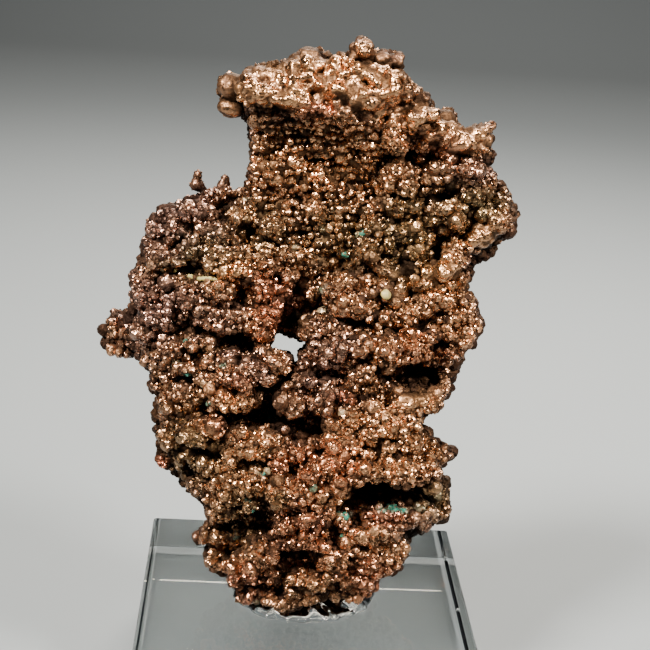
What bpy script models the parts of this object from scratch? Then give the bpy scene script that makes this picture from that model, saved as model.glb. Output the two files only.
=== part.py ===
"""Native copper nugget standing in clear gel on a clear acrylic display block.

Metres, +Z up. The origin is the middle of the block's underside. The nugget is a sheet of
copper that stands upright across X, with lobes, ledges and nodules grown out of its front
(-Y) and back (+Y). Its own points are given in millimetres as x along the sheet, z above
the top of the block, and depth out of the sheet's middle plane, forwards positive.
"""

import math
import random

import bmesh
import bpy
import numpy as np
from mathutils import Matrix, Vector

MM = 0.001

# Driving dimensions of the display block and the gel, in metres.
BLOCK_SIDE = 40.0 * MM
BLOCK_HEIGHT = 12.0 * MM
BLOCK_EDGE = 0.4 * MM
GAP = 0.3 * MM
GEL_CLEARANCE = 0.4 * MM
GEL_VOXEL = 0.4 * MM
GEL_TRIANGLES = 1100

# Driving dimensions of the nugget, in metres.
SHEET_HALF = 2.0 * MM
SHEET_INSET = 0.5 * MM
SHEET_VOXEL = 0.9 * MM
FUSE_VOXEL = 0.52 * MM
PIT_VOXEL = 0.47 * MM
SKIN_VOXEL = 0.6 * MM
NUGGET_TRIANGLES = 8600

# Front growth leans towards one far point, in millimetres: x, z and the way forward to it.
LEAN_X = -9.7
LEAN_Z = 88.8
LEAN_REACH = 165.0

# The sheet isn't flat: it sways up its height and its wings bend back, in millimetres.
SWAY_UP = 1.8
SWAY_WAVE = 58.0
WING_BACK = 2.4
WING_WIDTH = 20.0

# Chains of nodules: spacing along a chain in radii, and the random change of size and place.
CHAIN_STEP = 1.3
CHAIN_SIZE_CHANGE = 0.25
CHAIN_PLACE_CHANGE = 0.3

# Nodules of a ledge: how far they stand out, how that changes, and their stretch in depth and height.
LEDGE_LIFT = 0.8
LEDGE_IN_OUT = (-1.0, 0.6)
NODULE_DEPTH = 1.5
NODULE_HEIGHT = 0.85

# Nodules of the rim, in radii and millimetres, and the ones scattered over the back.
RIM_RADIUS = 0.8
RIM_STEP = 1.5
RIM_SIZE_CHANGE = 0.12
RIM_IN_OUT = (-1.0, 1.4)
RIM_DEPTH = 1.6
SCATTER_COUNT = 260
SCATTER_FACING = 0.4
SCATTER_LOWEST = BLOCK_HEIGHT + 5.0 * MM
SCATTER_RADIUS = (0.9, 1.9)
SCATTER_SUNK = 0.25

# The back repeats the front's ledges drawn in and moved up a little.
BACK_WIDTH = 0.86
BACK_HEIGHT = 0.93
BACK_RAISE = 2.6
BACK_DEPTH = -0.92
SEED = 29

# The sheet's outline, x and z in millimetres, clockwise from the left end of the crest.
CREST_RIM = [
    (-10.2, 60.8), (-10.6, 63.2), (-8.2, 63.9), (-6.2, 64.4), (-4.4, 66.1), (-2.6, 66.1),
    (-1.0, 64.4), (1.6, 65.2), (4.2, 64.6), (5.8, 63.0), (7.2, 61.6), (9.0, 60.5),
    (10.8, 59.0), (12.4, 57.9), (14.2, 57.4), (16.0, 58.2), (16.4, 57.0),
]
RIGHT_RIM = [
    (16.0, 55.9), (16.0, 54.3), (17.8, 52.6), (19.3, 50.9), (20.9, 48.8), (20.3, 47.0),
    (18.3, 45.4), (17.1, 44.0), (15.9, 42.8), (15.4, 40.6), (16.6, 38.6), (17.8, 36.0),
    (17.2, 33.6), (16.3, 32.2), (15.8, 30.5), (14.4, 29.1), (14.8, 27.8), (13.7, 25.8),
    (10.6, 24.2), (10.9, 22.4), (13.0, 20.0), (14.6, 19.7), (15.3, 19.0), (14.4, 17.9),
    (15.4, 15.9), (16.0, 13.6), (16.1, 12.2), (15.0, 11.6), (13.6, 11.0), (9.8, 11.0),
    (11.1, 7.6), (11.1, 5.4), (9.6, 4.2), (8.2, 3.0),
]
FOOT_RIM = [(7.4, 2.6), (3.0, 2.6), (-3.0, 2.6), (-7.6, 2.6), (-8.7, 2.9)]
LEFT_RIM = [
    (-10.4, 3.4), (-11.3, 4.6), (-10.6, 6.2), (-12.2, 6.8), (-11.8, 8.4), (-11.8, 10.8),
    (-12.9, 12.8), (-14.6, 14.1), (-15.8, 15.6), (-17.6, 16.8), (-18.0, 18.5),
    (-17.7, 20.8), (-18.1, 23.8), (-17.8, 25.5), (-18.9, 27.3), (-20.0, 29.8),
    (-23.3, 31.1), (-24.2, 32.2), (-24.2, 33.2), (-23.2, 34.0), (-21.2, 35.0),
    (-21.3, 38.8), (-20.6, 41.8), (-20.2, 44.8), (-18.8, 46.6), (-16.8, 47.6),
    (-14.8, 48.2), (-12.4, 48.5), (-9.3, 49.0), (-9.0, 51.8), (-8.9, 54.5), (-9.2, 57.2),
]

# The small hole right through the sheet, and the slit under it.
HOLE_RIM = [
    (-5.8, 34.0), (-4.6, 33.8), (-3.4, 33.5), (-2.5, 33.2), (-1.2, 33.4), (-2.2, 31.7),
    (-2.2, 30.0), (-3.5, 29.9), (-3.8, 31.2), (-5.0, 31.5), (-6.7, 31.7), (-5.9, 32.9),
]
SLIT_RIM = [(-4.5, 30.0), (-3.9, 30.2), (-3.3, 29.2), (-3.8, 28.4), (-4.3, 29.0)]
HOLE_MIDDLE = (-4.2, 32.4)
HOLE_HALF = 14.0 * MM

# Lobes: x, z, depth, then radius along x, depth and z, and the tilt up to the right.
FRONT_LOBES = [
    (-5.2, 62.0, 1.6, 5.6, 2.2, 2.5, 4), (2.6, 62.9, 1.6, 6.0, 2.2, 2.7, -3),
    (8.6, 58.5, 1.0, 4.4, 2.2, 2.6, -28), (-1.0, 54.0, 0.2, 8.6, 2.2, 7.0, 0),
    (-2.0, 49.0, 1.0, 7.0, 2.2, 5.0, 0), (11.6, 53.4, 1.0, 5.4, 2.6, 5.0, -20),
    (15.6, 48.6, 1.4, 4.2, 2.6, 4.2, 15), (8.0, 46.4, 1.6, 6.4, 3.0, 4.6, 10),
    (-14.2, 44.0, 1.2, 6.0, 2.6, 4.0, 8), (-17.2, 38.4, 1.6, 4.4, 2.8, 4.6, 0),
    (-10.4, 41.6, 2.0, 5.4, 3.2, 4.6, 0), (-22.4, 33.0, 0.6, 2.6, 2.2, 2.0, 0),
    (-15.0, 31.0, 1.6, 5.4, 3.2, 4.0, 0), (-15.0, 23.2, 1.2, 3.6, 2.6, 4.6, 0),
    (-10.0, 37.2, 3.0, 3.6, 2.4, 2.8, 0), (-9.6, 28.4, 2.6, 4.0, 3.0, 3.6, 0),
    (0.2, 40.4, 1.6, 6.4, 2.8, 3.8, 0), (10.2, 39.2, 2.4, 5.2, 3.4, 4.2, 25),
    (12.2, 33.6, 2.8, 4.6, 3.4, 2.8, 25), (3.6, 31.2, 3.4, 4.6, 3.0, 4.2, 20),
    (2.0, 25.0, 4.0, 4.8, 3.2, 3.4, 20), (8.6, 23.6, 3.6, 3.6, 3.4, 3.2, 20),
    (2.4, 17.0, 4.8, 5.6, 3.8, 4.0, 12), (10.6, 18.0, 3.4, 4.6, 3.2, 2.4, 8),
    (-9.0, 19.0, 2.4, 5.0, 3.0, 3.6, 0), (-8.4, 13.6, 2.2, 4.4, 3.0, 2.8, 8),
    (-10.6, 8.2, 0.6, 2.4, 2.2, 1.6, 4), (-7.6, 4.6, 1.4, 3.2, 2.2, 2.0, 0),
    (12.8, 12.4, 1.0, 3.2, 2.2, 1.8, 10), (5.0, 9.4, 4.0, 5.6, 3.6, 2.6, 3),
    (7.4, 5.6, 3.4, 3.8, 3.6, 2.6, 3), (-0.4, 5.4, 3.4, 6.4, 4.2, 3.8, 0),
    (-1.0, 11.4, 4.0, 4.4, 3.8, 3.6, 0), (-5.4, 3.0, 2.4, 3.4, 2.8, 2.0, 0),
    (-2.4, 1.4, 4.4, 4.0, 2.8, 1.7, 0), (5.0, 2.2, 4.2, 3.6, 2.8, 1.8, 0),
]
BACK_LOBES = [
    (-3.4, 61.0, -1.6, 6.4, 2.2, 2.8, 0), (6.6, 58.4, -2.0, 6.0, 2.2, 3.2, -25),
    (1.0, 52.0, -2.8, 8.0, 2.6, 5.4, 0), (12.6, 48.6, -3.0, 6.0, 3.2, 4.4, 0),
    (-13.0, 42.6, -2.8, 6.2, 3.0, 4.0, 5), (-3.0, 43.0, -3.4, 6.4, 3.0, 4.4, 0),
    (8.6, 39.4, -4.0, 6.4, 3.6, 4.8, 20), (-16.4, 33.4, -3.2, 4.8, 3.0, 4.6, 0),
    (-11.8, 26.4, -4.0, 5.6, 3.6, 5.0, 0), (6.4, 29.0, -4.6, 6.6, 4.0, 5.2, 15),
    (-13.0, 19.4, -3.2, 4.2, 2.6, 3.2, 0), (0.6, 20.8, -5.2, 6.8, 4.2, 4.8, 0),
    (-7.4, 13.0, -4.2, 5.0, 3.4, 4.2, 0), (8.8, 16.8, -4.2, 5.6, 3.4, 3.8, 10),
    (9.2, 8.2, -3.2, 4.8, 3.2, 3.0, 0), (-0.6, 7.2, -5.0, 7.0, 4.4, 4.6, 0),
]

# Ledges: depth, nodule radius, then the x and z that the ledge passes through.
LEFT_LEDGES = [
    (3.6, 1.0, [(-19.4, 46.3), (-16.2, 47.4), (-13.5, 47.0), (-10.0, 47.6)]),
    (5.0, 1.0, [(-19.8, 44.4), (-17.5, 44.6), (-14.0, 44.8), (-10.5, 44.8)]),
    (5.8, 1.2, [(-19.0, 42.2), (-16.0, 42.4), (-13.0, 42.2), (-10.6, 42.6), (-9.0, 41.2)]),
    (4.4, 1.3, [(-20.8, 40.0), (-18.6, 39.6)]),
    (6.6, 1.3, [(-20.6, 38.0), (-17.4, 38.0), (-13.6, 38.6), (-10.5, 39.2), (-8.0, 39.6)]),
    (7.0, 1.0, [(-18.2, 36.7), (-16.5, 37.2), (-13.6, 36.9)]),
    (6.6, 1.4, [(-20.2, 34.9), (-17.0, 34.8), (-13.5, 34.9), (-10.5, 35.3), (-7.5, 35.7)]),
    (6.0, 1.2, [(-19.4, 32.8), (-17.8, 32.4)]),
    (6.2, 1.1, [(-14.8, 32.8), (-13.2, 32.4)]),
    (6.2, 1.3, [(-19.4, 30.8), (-17.4, 31.0)]),
    (7.0, 1.4, [(-12.0, 30.2), (-9.5, 29.7), (-7.0, 29.4), (-5.4, 30.2)]),
    (5.6, 1.3, [(-19.0, 28.2), (-17.4, 28.5), (-15.2, 29.4), (-12.6, 28.6)]),
    (7.0, 1.3, [(-12.4, 27.8), (-10.4, 27.6), (-8.4, 27.8)]),
    (5.4, 1.2, [(-17.3, 25.0), (-15.5, 25.6), (-13.8, 25.0)]),
    (6.6, 1.4, [(-12.2, 25.2), (-10.4, 25.3), (-8.4, 25.0)]),
    (5.0, 1.0, [(-17.4, 22.6), (-15.0, 22.8), (-12.2, 22.6)]),
    (6.0, 1.4, [(-14.4, 20.6), (-12.6, 21.0), (-11.2, 20.8)]),
    (4.6, 1.1, [(-17.2, 19.0), (-15.0, 19.3), (-13.6, 18.8)]),
    (7.4, 1.6, [(-9.6, 20.0), (-7.5, 20.0), (-5.2, 19.7)]),
    (5.6, 1.2, [(-12.6, 17.0), (-9.8, 17.0), (-7.6, 17.4)]),
    (7.4, 1.5, [(-9.4, 15.4), (-7.0, 15.5), (-5.0, 15.3)]),
    (5.0, 1.4, [(-13.3, 14.3), (-11.2, 14.2), (-9.8, 13.6)]),
    (6.8, 1.2, [(-7.8, 13.4), (-6.2, 13.4), (-5.0, 13.8)]),
    (5.0, 1.3, [(-11.4, 11.2), (-9.4, 11.6)]),
    (3.0, 0.9, [(-12.9, 7.3), (-11.2, 7.4), (-9.0, 7.7), (-7.4, 8.0)]),
    (4.8, 1.4, [(-10.0, 3.7), (-8.4, 4.1), (-6.2, 4.4)]),
]
RIGHT_LEDGES = [
    (6.8, 1.3, [(-3.4, 27.2), (-1.0, 28.0), (0.4, 27.2), (3.0, 27.4)]),
    (6.8, 1.2, [(-3.8, 24.8), (-2.4, 24.9)]),
    (8.0, 1.1, [(0.6, 25.3), (3.4, 25.8)]),
    (7.8, 1.3, [(3.6, 24.4), (6.0, 24.4), (8.0, 24.2), (10.8, 25.6), (12.6, 26.3)]),
    (8.2, 1.4, [(2.4, 22.9), (5.0, 22.6), (7.5, 23.0), (10.0, 22.8)]),
    (7.8, 1.3, [(2.4, 20.9), (5.5, 20.8), (8.0, 21.4), (10.0, 20.8), (12.0, 21.0)]),
    (8.4, 1.5, [(6.4, 19.4), (8.2, 19.5), (10.4, 19.0)]),
    (4.6, 1.4, [(12.4, 19.2), (13.8, 19.4), (15.2, 19.3)]),
    (7.6, 1.3, [(-3.4, 17.6), (-0.8, 18.8), (1.8, 19.2), (3.2, 19.0)]),
    (8.6, 1.6, [(1.5, 16.4), (4.5, 17.2), (7.5, 17.4), (10.5, 16.9), (14.0, 17.0)]),
    (9.0, 1.4, [(-1.5, 15.4), (1.0, 15.8), (3.0, 15.2)]),
    (9.2, 1.5, [(-3.6, 13.4), (-1.0, 13.8), (1.5, 13.4), (2.6, 12.6)]),
    (9.0, 1.4, [(-3.9, 12.0), (-1.5, 11.6), (1.0, 11.2)]),
    (7.0, 1.4, [(4.4, 10.8), (6.5, 10.7), (9.0, 10.9), (11.3, 11.1), (13.4, 11.5)]),
    (3.4, 1.2, [(13.2, 11.4), (15.3, 12.4), (15.5, 14.6)]),
    (7.8, 1.0, [(3.6, 9.3), (5.2, 8.9), (8.4, 8.8), (9.8, 9.2)]),
    (8.8, 1.3, [(-3.5, 9.0), (-1.0, 8.8), (1.2, 9.2)]),
    (8.6, 1.3, [(-4.5, 6.6), (-2.0, 7.0), (0.5, 7.0), (2.5, 6.6), (5.0, 7.0), (8.0, 7.4)]),
    (6.2, 1.3, [(9.6, 7.8), (11.0, 6.9), (11.1, 5.4)]),
    (7.6, 1.5, [(2.8, 5.2), (4.8, 4.6), (7.0, 4.9), (9.4, 4.8)]),
    (8.0, 1.3, [(0.6, 2.4), (3.0, 2.6), (5.2, 2.8), (7.2, 2.8)]),
    (7.2, 1.2, [(3.6, 0.3), (5.8, 0.2), (7.9, 0.6)]),
    (7.4, 1.5, [(-5.8, 5.4), (-5.4, 3.6), (-5.2, 2.0)]),
    (6.4, 1.0, [(-8.2, 1.9), (-6.5, 1.5), (-4.2, 1.3)]),
    (7.8, 1.0, [(-1.6, 1.4), (0.5, 1.8)]),
    (6.0, 1.1, [(-7.2, -0.6), (-5.4, -0.6)]),
    (7.6, 1.1, [(-3.6, -1.3), (-2.6, -1.4), (-0.6, -1.0), (0.8, -0.5)]),
]
MIDDLE_LEDGES = [
    (6.2, 1.3, [(-7.2, 38.0), (-6.4, 36.4), (-7.0, 34.4)]),
    (5.6, 1.3, [(-0.9, 33.8), (0.4, 34.2), (2.4, 34.0), (4.8, 34.2)]),
    (5.8, 1.3, [(-1.4, 31.0), (-0.8, 29.8)]),
    (8.0, 1.3, [(1.8, 31.4), (5.4, 32.0), (7.5, 32.4), (10.0, 32.8)]),
    (8.0, 1.2, [(4.2, 28.6), (6.2, 29.2)]),
    (7.4, 1.4, [(5.0, 36.0), (7.6, 36.4), (9.6, 36.9)]),
    (7.0, 1.5, [(10.4, 34.6), (13.0, 35.4), (15.6, 36.0), (16.9, 35.4)]),
    (6.0, 1.3, [(13.0, 32.4), (15.0, 32.8)]),
    (5.0, 1.3, [(13.6, 29.0), (13.4, 27.4)]),
    (7.0, 1.4, [(8.2, 40.2), (6.0, 39.4), (3.4, 38.8), (1.0, 38.6)]),
    (7.2, 1.4, [(10.6, 41.6), (12.8, 42.0), (14.6, 43.4)]),
    (6.6, 1.4, [(11.4, 38.6), (13.8, 39.2), (15.4, 39.6)]),
    (4.2, 1.2, [(-3.4, 39.6), (-5.6, 41.0), (-7.4, 42.8)]),
    (6.0, 1.3, [(14.8, 45.2), (16.9, 46.4), (19.2, 47.6)]),
    (5.4, 1.4, [(13.6, 47.4), (16.0, 49.0), (18.8, 50.2)]),
    (5.2, 1.4, [(12.4, 50.4), (15.0, 51.4), (16.9, 52.0)]),
    (5.0, 1.4, [(10.6, 53.6), (13.0, 54.2), (15.2, 54.4)]),
    (5.6, 1.5, [(5.6, 57.2), (7.6, 57.4)]),
    (5.8, 1.3, [(6.6, 53.6), (8.6, 52.4), (10.6, 51.6)]),
    (5.6, 1.3, [(6.0, 49.6), (8.4, 49.2), (10.8, 48.8)]),
    (6.0, 1.3, [(5.4, 46.6), (8.0, 46.4), (10.4, 46.8)]),
    (6.0, 1.3, [(4.0, 43.8), (6.6, 43.6), (9.4, 43.8)]),
]
CREST_LEDGES = [
    (4.6, 1.9, [(-9.0, 61.4), (-6.0, 61.2), (-3.0, 60.8), (-0.6, 61.4), (2.2, 62.4)]),
    (3.4, 1.7, [(-9.2, 62.8), (-6.4, 63.0), (-3.0, 64.2), (0.0, 64.2), (3.0, 64.0)]),
    (4.4, 1.7, [(3.4, 62.0), (5.8, 62.2), (8.0, 61.0), (9.8, 59.8)]),
    (3.8, 1.6, [(10.6, 58.8), (12.4, 57.6), (12.8, 55.8)]),
    (4.4, 1.2, [(0.0, 59.6), (2.4, 59.4), (4.6, 59.4)]),
]

# The close rows of small nodules under the crest: z of each row at its left end.
ROW_HEIGHTS = [58.2, 56.0, 53.8, 51.6, 49.4, 47.2, 45.0, 42.8]
ROW_SPAN = (-8.2, 5.2)
ROW_FALL = 0.03
ROW_DEPTH = 4.2
ROW_RADIUS = 0.95

# Single knobs, spikes and plates: x, z, depth, three radii and tilt.
KNOBS = [
    (-12.3, 62.0, 0.6, 1.4, 1.4, 1.4, 0), (-12.2, 59.6, 0.6, 1.4, 1.4, 1.3, 0),
    (-10.9, 61.4, 0.8, 1.6, 1.4, 1.0, 0), (2.0, 67.1, 0.2, 1.3, 1.4, 1.2, 0),
    (1.6, 65.4, 0.2, 1.0, 1.2, 1.4, 0), (4.4, 65.9, 0.8, 1.4, 1.3, 1.3, 0),
    (5.8, 66.2, 0.2, 1.25, 1.2, 1.2, 0), (9.0, 61.4, 0.4, 1.1, 1.4, 1.1, 0),
    (12.1, 59.2, 0.4, 1.1, 1.4, 1.0, 0), (14.0, 57.2, 2.6, 2.1, 1.8, 1.1, 4),
    (16.2, 58.2, 0.6, 1.9, 1.4, 0.9, 32), (16.7, 55.9, 0.6, 0.9, 1.2, 0.9, 0),
    (-15.0, 49.6, 0.0, 0.9, 1.0, 1.4, 0), (-14.9, 51.0, 0.0, 0.8, 0.9, 1.4, 0),
    (-12.2, 49.6, 0.2, 0.9, 1.0, 1.5, 0), (-24.9, 32.7, 0.4, 0.9, 1.0, 0.9, 0),
    (-24.1, 33.9, 0.4, 0.9, 1.0, 0.9, 0), (-24.2, 31.2, 0.2, 1.0, 1.0, 0.8, 0),
    (-12.8, 7.1, 0.4, 1.2, 1.2, 0.7, 8), (13.9, 9.5, 1.0, 0.9, 1.1, 0.9, 0),
    (17.0, 46.4, 3.0, 2.8, 1.6, 1.2, 30), (12.8, 41.9, 5.0, 2.6, 1.8, 1.2, 22),
    (11.4, 25.6, 6.0, 2.3, 1.8, 1.1, 24), (6.7, 57.4, 3.0, 1.8, 1.6, 1.3, 8),
]

# Pits and slots: x, z, depth, three radii and tilt. They are cut out last.
PITS = [
    (-10.0, 33.2, 7.0, 3.0, 6.4, 1.4, 0), (-4.0, 35.4, 6.4, 2.2, 5.4, 1.7, 0),
    (-5.2, 26.6, 7.6, 1.8, 6.0, 2.4, 0), (0.6, 21.4, 9.6, 1.3, 5.6, 2.2, 0),
    (-2.2, 19.9, 8.6, 1.8, 5.4, 1.1, 0), (-4.4, 11.2, 8.6, 1.4, 5.6, 3.4, -20),
    (-6.6, 8.0, 7.0, 1.4, 5.4, 2.4, -35), (10.8, 29.2, 8.4, 3.1, 6.6, 1.9, 10),
    (12.2, 44.9, 6.4, 2.1, 5.0, 1.1, 15), (8.2, 13.7, 8.6, 5.8, 6.6, 1.5, 0),
    (13.2, 14.0, 4.4, 2.4, 4.2, 1.1, 0), (6.0, 3.6, 9.4, 3.0, 4.8, 0.7, 0),
    (-1.6, 4.2, 9.6, 2.5, 5.6, 1.4, 0), (8.0, 6.7, 9.4, 2.4, 4.8, 0.7, 0),
    (-14.8, 27.2, 6.4, 2.7, 5.0, 1.1, 5), (-12.8, 30.8, 7.4, 1.3, 4.4, 0.8, 0),
    (-10.8, 18.5, 6.4, 2.0, 5.0, 0.9, 0), (-13.4, 39.8, 7.0, 2.5, 4.4, 0.8, -8),
    (-18.8, 45.6, 5.0, 1.5, 4.0, 0.8, 0), (-12.0, 48.3, 5.0, 1.6, 4.0, 1.0, 0),
    (5.6, 9.9, 9.4, 2.8, 4.4, 0.6, 0), (6.9, 55.4, 6.0, 2.2, 3.6, 1.0, 15),
    (-6.0, 59.7, 6.8, 3.8, 3.2, 0.7, -4), (-2.0, 19.0, -10.0, 3.0, 4.5, 1.2, 20),
    (4.0, 45.0, -8.0, 3.2, 4.0, 1.1, -15), (-9.0, 34.0, -8.0, 2.8, 4.0, 1.2, 10),
    (5.0, 12.0, -10.0, 3.2, 4.5, 1.0, 0), (-6.0, 49.0, -7.0, 2.6, 3.5, 1.0, 20),
]

# The gel pad: x, z, depth, three radii and tilt of the blobs that it is squeezed into.
GEL_BLOBS = [
    (-0.6, 0.2, 0.6, 8.6, 7.0, 2.0, 0), (-4.6, 0.2, 3.2, 4.6, 4.4, 2.0, 0),
    (4.2, 0.2, 2.6, 4.6, 4.6, 2.2, 0), (6.6, 1.0, 3.0, 2.4, 3.0, 2.2, 0),
    (0.4, 0.2, -3.2, 7.6, 5.0, 2.4, 0),
]


def sway(x, z):
    """How far the sheet's middle lies forwards here, in millimetres."""
    return SWAY_UP * math.sin(math.tau * z / SWAY_WAVE) - WING_BACK * (x / WING_WIDTH) ** 2


def placed(x, z, depth):
    """A point of the nugget in metres; what grows forwards leans towards the far point."""
    lie = sway(x, z)
    pull = (lie + max(depth, 0.0)) / LEAN_REACH
    lean_x = x + (LEAN_X - x) * pull
    lean_z = z + (LEAN_Z - z) * pull
    return Vector((lean_x * MM, -(lie + depth) * MM, lean_z * MM + BLOCK_HEIGHT))


def lobe(x, z, depth, radius_x, radius_y, radius_z, tilt):
    """The matrix that turns a unit ball into one lobe."""
    size = Matrix.Diagonal((radius_x * MM, radius_y * MM, radius_z * MM, 1.0))
    turn = Matrix.Rotation(-math.radians(tilt), 4, "Y")
    return Matrix.Translation(placed(x, z, depth)) @ turn @ size


def along(points, step):
    """Points a step apart along a line of straight runs through the given points."""
    found = []
    for (x0, z0), (x1, z1) in zip(points, points[1:]):
        count = max(1, round(math.hypot(x1 - x0, z1 - z0) / step))
        found += [(x0 + (x1 - x0) * i / count, z0 + (z1 - z0) * i / count) for i in range(count)]
    return found + [points[-1]]


def ledge(depth, radius, points, dice):
    """Ball matrices of a ledge: nodules side by side, each a little off in size and place."""
    balls = []
    for x, z in along(points, CHAIN_STEP * radius):
        size = radius * (1.0 + dice.uniform(-CHAIN_SIZE_CHANGE, CHAIN_SIZE_CHANGE))
        x += dice.uniform(-CHAIN_PLACE_CHANGE, CHAIN_PLACE_CHANGE)
        z += dice.uniform(-CHAIN_PLACE_CHANGE, CHAIN_PLACE_CHANGE)
        out = depth + LEDGE_LIFT + dice.uniform(*LEDGE_IN_OUT) - size
        balls.append(lobe(x, z, out, size, size * NODULE_DEPTH, size * NODULE_HEIGHT, 0))
    return balls


def back_ledge(depth, radius, points, dice):
    """Ball matrices of a ledge on the back, after one on the front."""
    drawn = [(x * BACK_WIDTH, z * BACK_HEIGHT + BACK_RAISE) for x, z in points]
    return ledge(depth * BACK_DEPTH + radius, radius, drawn, dice)


def nodule_rows(dice):
    """Ball matrices of the close rows under the crest."""
    balls = []
    for height in ROW_HEIGHTS:
        left, right = ROW_SPAN
        ends = [(left, height), (right, height - (right - left) * ROW_FALL)]
        balls += ledge(ROW_DEPTH, ROW_RADIUS, ends, dice)
    return balls


def rim(points, radius, dice):
    """Ball matrices of a knobbly rim that follows the sheet's outline."""
    balls = []
    for x, z in along(points, RIM_STEP * radius):
        size = radius * (1.0 + dice.uniform(-RIM_SIZE_CHANGE, RIM_SIZE_CHANGE))
        depth = dice.uniform(*RIM_IN_OUT)
        balls.append(lobe(x, z, depth, size, size * RIM_DEPTH, size, 0))
    return balls


def ball_mesh(name, matrices, subdivisions):
    """One mesh of many balls: a unit ball's points under each of the matrices."""
    pattern = bmesh.new()
    bmesh.ops.create_icosphere(pattern, subdivisions=subdivisions, radius=1.0)
    points = np.array([(*vert.co, 1.0) for vert in pattern.verts])
    corners = np.array([[vert.index for vert in face.verts] for face in pattern.faces])
    pattern.free()
    moves = np.array([[tuple(row) for row in matrix] for matrix in matrices])
    moved = np.einsum("nij,pj->npi", moves, points)[:, :, :3].reshape(-1, 3)
    first = np.arange(len(matrices))[:, None, None] * len(points)
    faces = (corners[None] + first).reshape(-1, 3)
    mesh = bpy.data.meshes.new(name)
    mesh.from_pydata(moved.tolist(), [], faces.tolist())
    return mesh


def outline_mesh(name, rims, half_depth, inset=0.0):
    """A closed slab of the outlines, lying in the XY plane, made from a 2D curve."""
    curve = bpy.data.curves.new(name, "CURVE")
    curve.dimensions = "2D"
    curve.fill_mode = "BOTH"
    curve.extrude = half_depth
    curve.offset = -inset
    for points in rims:
        spline = curve.splines.new("POLY")
        spline.points.add(len(points) - 1)
        for point, (x, z) in zip(spline.points, points):
            point.co = (x * MM, z * MM, 0.0, 1.0)
        spline.use_cyclic_u = True
    lying = bpy.data.objects.new(name, curve)
    bpy.context.scene.collection.objects.link(lying)
    mesh = evaluated(lying)
    bpy.data.objects.remove(lying)
    return welded(mesh)


def swayed_sheet(outline):
    """The slab of copper that everything grows from, remeshed fine and bent to its sway."""
    slab = add_cutter("sheet", outline_mesh("sheet", [outline], SHEET_HALF, SHEET_INSET))
    fuse(slab, SHEET_VOXEL)
    mesh = evaluated(slab)
    bpy.data.objects.remove(slab)
    for vert in mesh.vertices:
        x, z, depth = vert.co / MM
        vert.co = placed(x, z, depth)
    return mesh


def evaluated(obj):
    """A new mesh of the object as its modifiers leave it."""
    graph = bpy.context.evaluated_depsgraph_get()
    return bpy.data.meshes.new_from_object(obj.evaluated_get(graph), depsgraph=graph)


def welded(mesh):
    """The mesh with its loose caps welded on."""
    work = bmesh.new()
    work.from_mesh(mesh)
    bmesh.ops.remove_doubles(work, verts=work.verts, dist=1e-6)
    bmesh.ops.recalc_face_normals(work, faces=work.faces)
    work.to_mesh(mesh)
    work.free()
    return mesh


def joined(name, parts):
    """One mesh of several."""
    work = bmesh.new()
    for part in parts:
        work.from_mesh(part)
    mesh = bpy.data.meshes.new(name)
    work.to_mesh(mesh)
    work.free()
    return mesh


def add_object(name, mesh, collection, material=None):
    """An object of the mesh in the collection."""
    obj = bpy.data.objects.new(name, mesh)
    collection.objects.link(obj)
    if material:
        mesh.materials.clear()
        mesh.materials.append(material)
    return obj


def add_cutter(name, mesh):
    """A helper that shows as wire and is left out of the object."""
    cutter = add_object(name, mesh, cutters)
    cutter.display_type = "WIRE"
    cutter.hide_render = True
    return cutter


def fuse(obj, voxel):
    """Melt everything in the object into one closed skin."""
    remesh = obj.modifiers.new("Fuse", "REMESH")
    remesh.mode = "VOXEL"
    remesh.voxel_size = voxel


def cut(obj, cutter):
    """Take the cutter out of the object."""
    boolean = obj.modifiers.new(f"Cut {cutter.name}", "BOOLEAN")
    boolean.operation = "DIFFERENCE"
    boolean.solver = "EXACT"
    boolean.object = cutter


def thin_out(obj, triangles):
    """Collapse short edges until about this many triangles are left."""
    full = evaluated(obj)
    full.calc_loop_triangles()
    decimate = obj.modifiers.new("Thin out", "DECIMATE")
    decimate.ratio = triangles / len(full.loop_triangles)
    bpy.data.meshes.remove(full)


def make_material(name, colour, metallic, roughness, transmission=0.0, ior=1.45):
    """A Principled material."""
    material = bpy.data.materials.new(name)
    material.use_nodes = True
    shader = material.node_tree.nodes["Principled BSDF"]
    shader.inputs["Base Color"].default_value = (*colour, 1.0)
    shader.inputs["Metallic"].default_value = metallic
    shader.inputs["Roughness"].default_value = roughness
    shader.inputs["Transmission Weight"].default_value = transmission
    shader.inputs["IOR"].default_value = ior
    material.diffuse_color = (*colour, 1.0)
    return material


def make_nugget(material, dice):
    """Native copper, one piece: the sheet, its lobes and ledges fused, then pitted."""
    outline = CREST_RIM + RIGHT_RIM + FOOT_RIM + LEFT_RIM
    balls = rim(outline + outline[:1], RIM_RADIUS, dice)
    for depth, radius, points in LEFT_LEDGES + RIGHT_LEDGES + MIDDLE_LEDGES + CREST_LEDGES:
        balls += ledge(depth, radius, points, dice)
        balls += back_ledge(depth, radius, points, dice)
    balls += nodule_rows(dice)
    lobes = [lobe(*values) for values in FRONT_LOBES + BACK_LOBES + KNOBS]
    body = joined("nugget body", [
        swayed_sheet(outline),
        ball_mesh("lobes", lobes, 3),
        ball_mesh("ledges", balls, 2),
    ])
    rough = add_object("nugget body", body, cutters)
    fuse(rough, FUSE_VOXEL)
    skin = evaluated(rough)
    bpy.data.objects.remove(rough)
    grown = ball_mesh("nodules", scattered(skin, dice), 2)
    nugget = add_object("copper_nugget", joined("copper_nugget", [skin, grown]), model, material)
    fuse(nugget, FUSE_VOXEL)
    pits = add_cutter("pits", ball_mesh("pits", [lobe(*values) for values in PITS], 3))
    fuse(pits, PIT_VOXEL)
    cut(nugget, pits)
    cut(nugget, hole_cutter())
    fuse(nugget, SKIN_VOXEL)
    thin_out(nugget, NUGGET_TRIANGLES)
    return nugget


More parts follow.
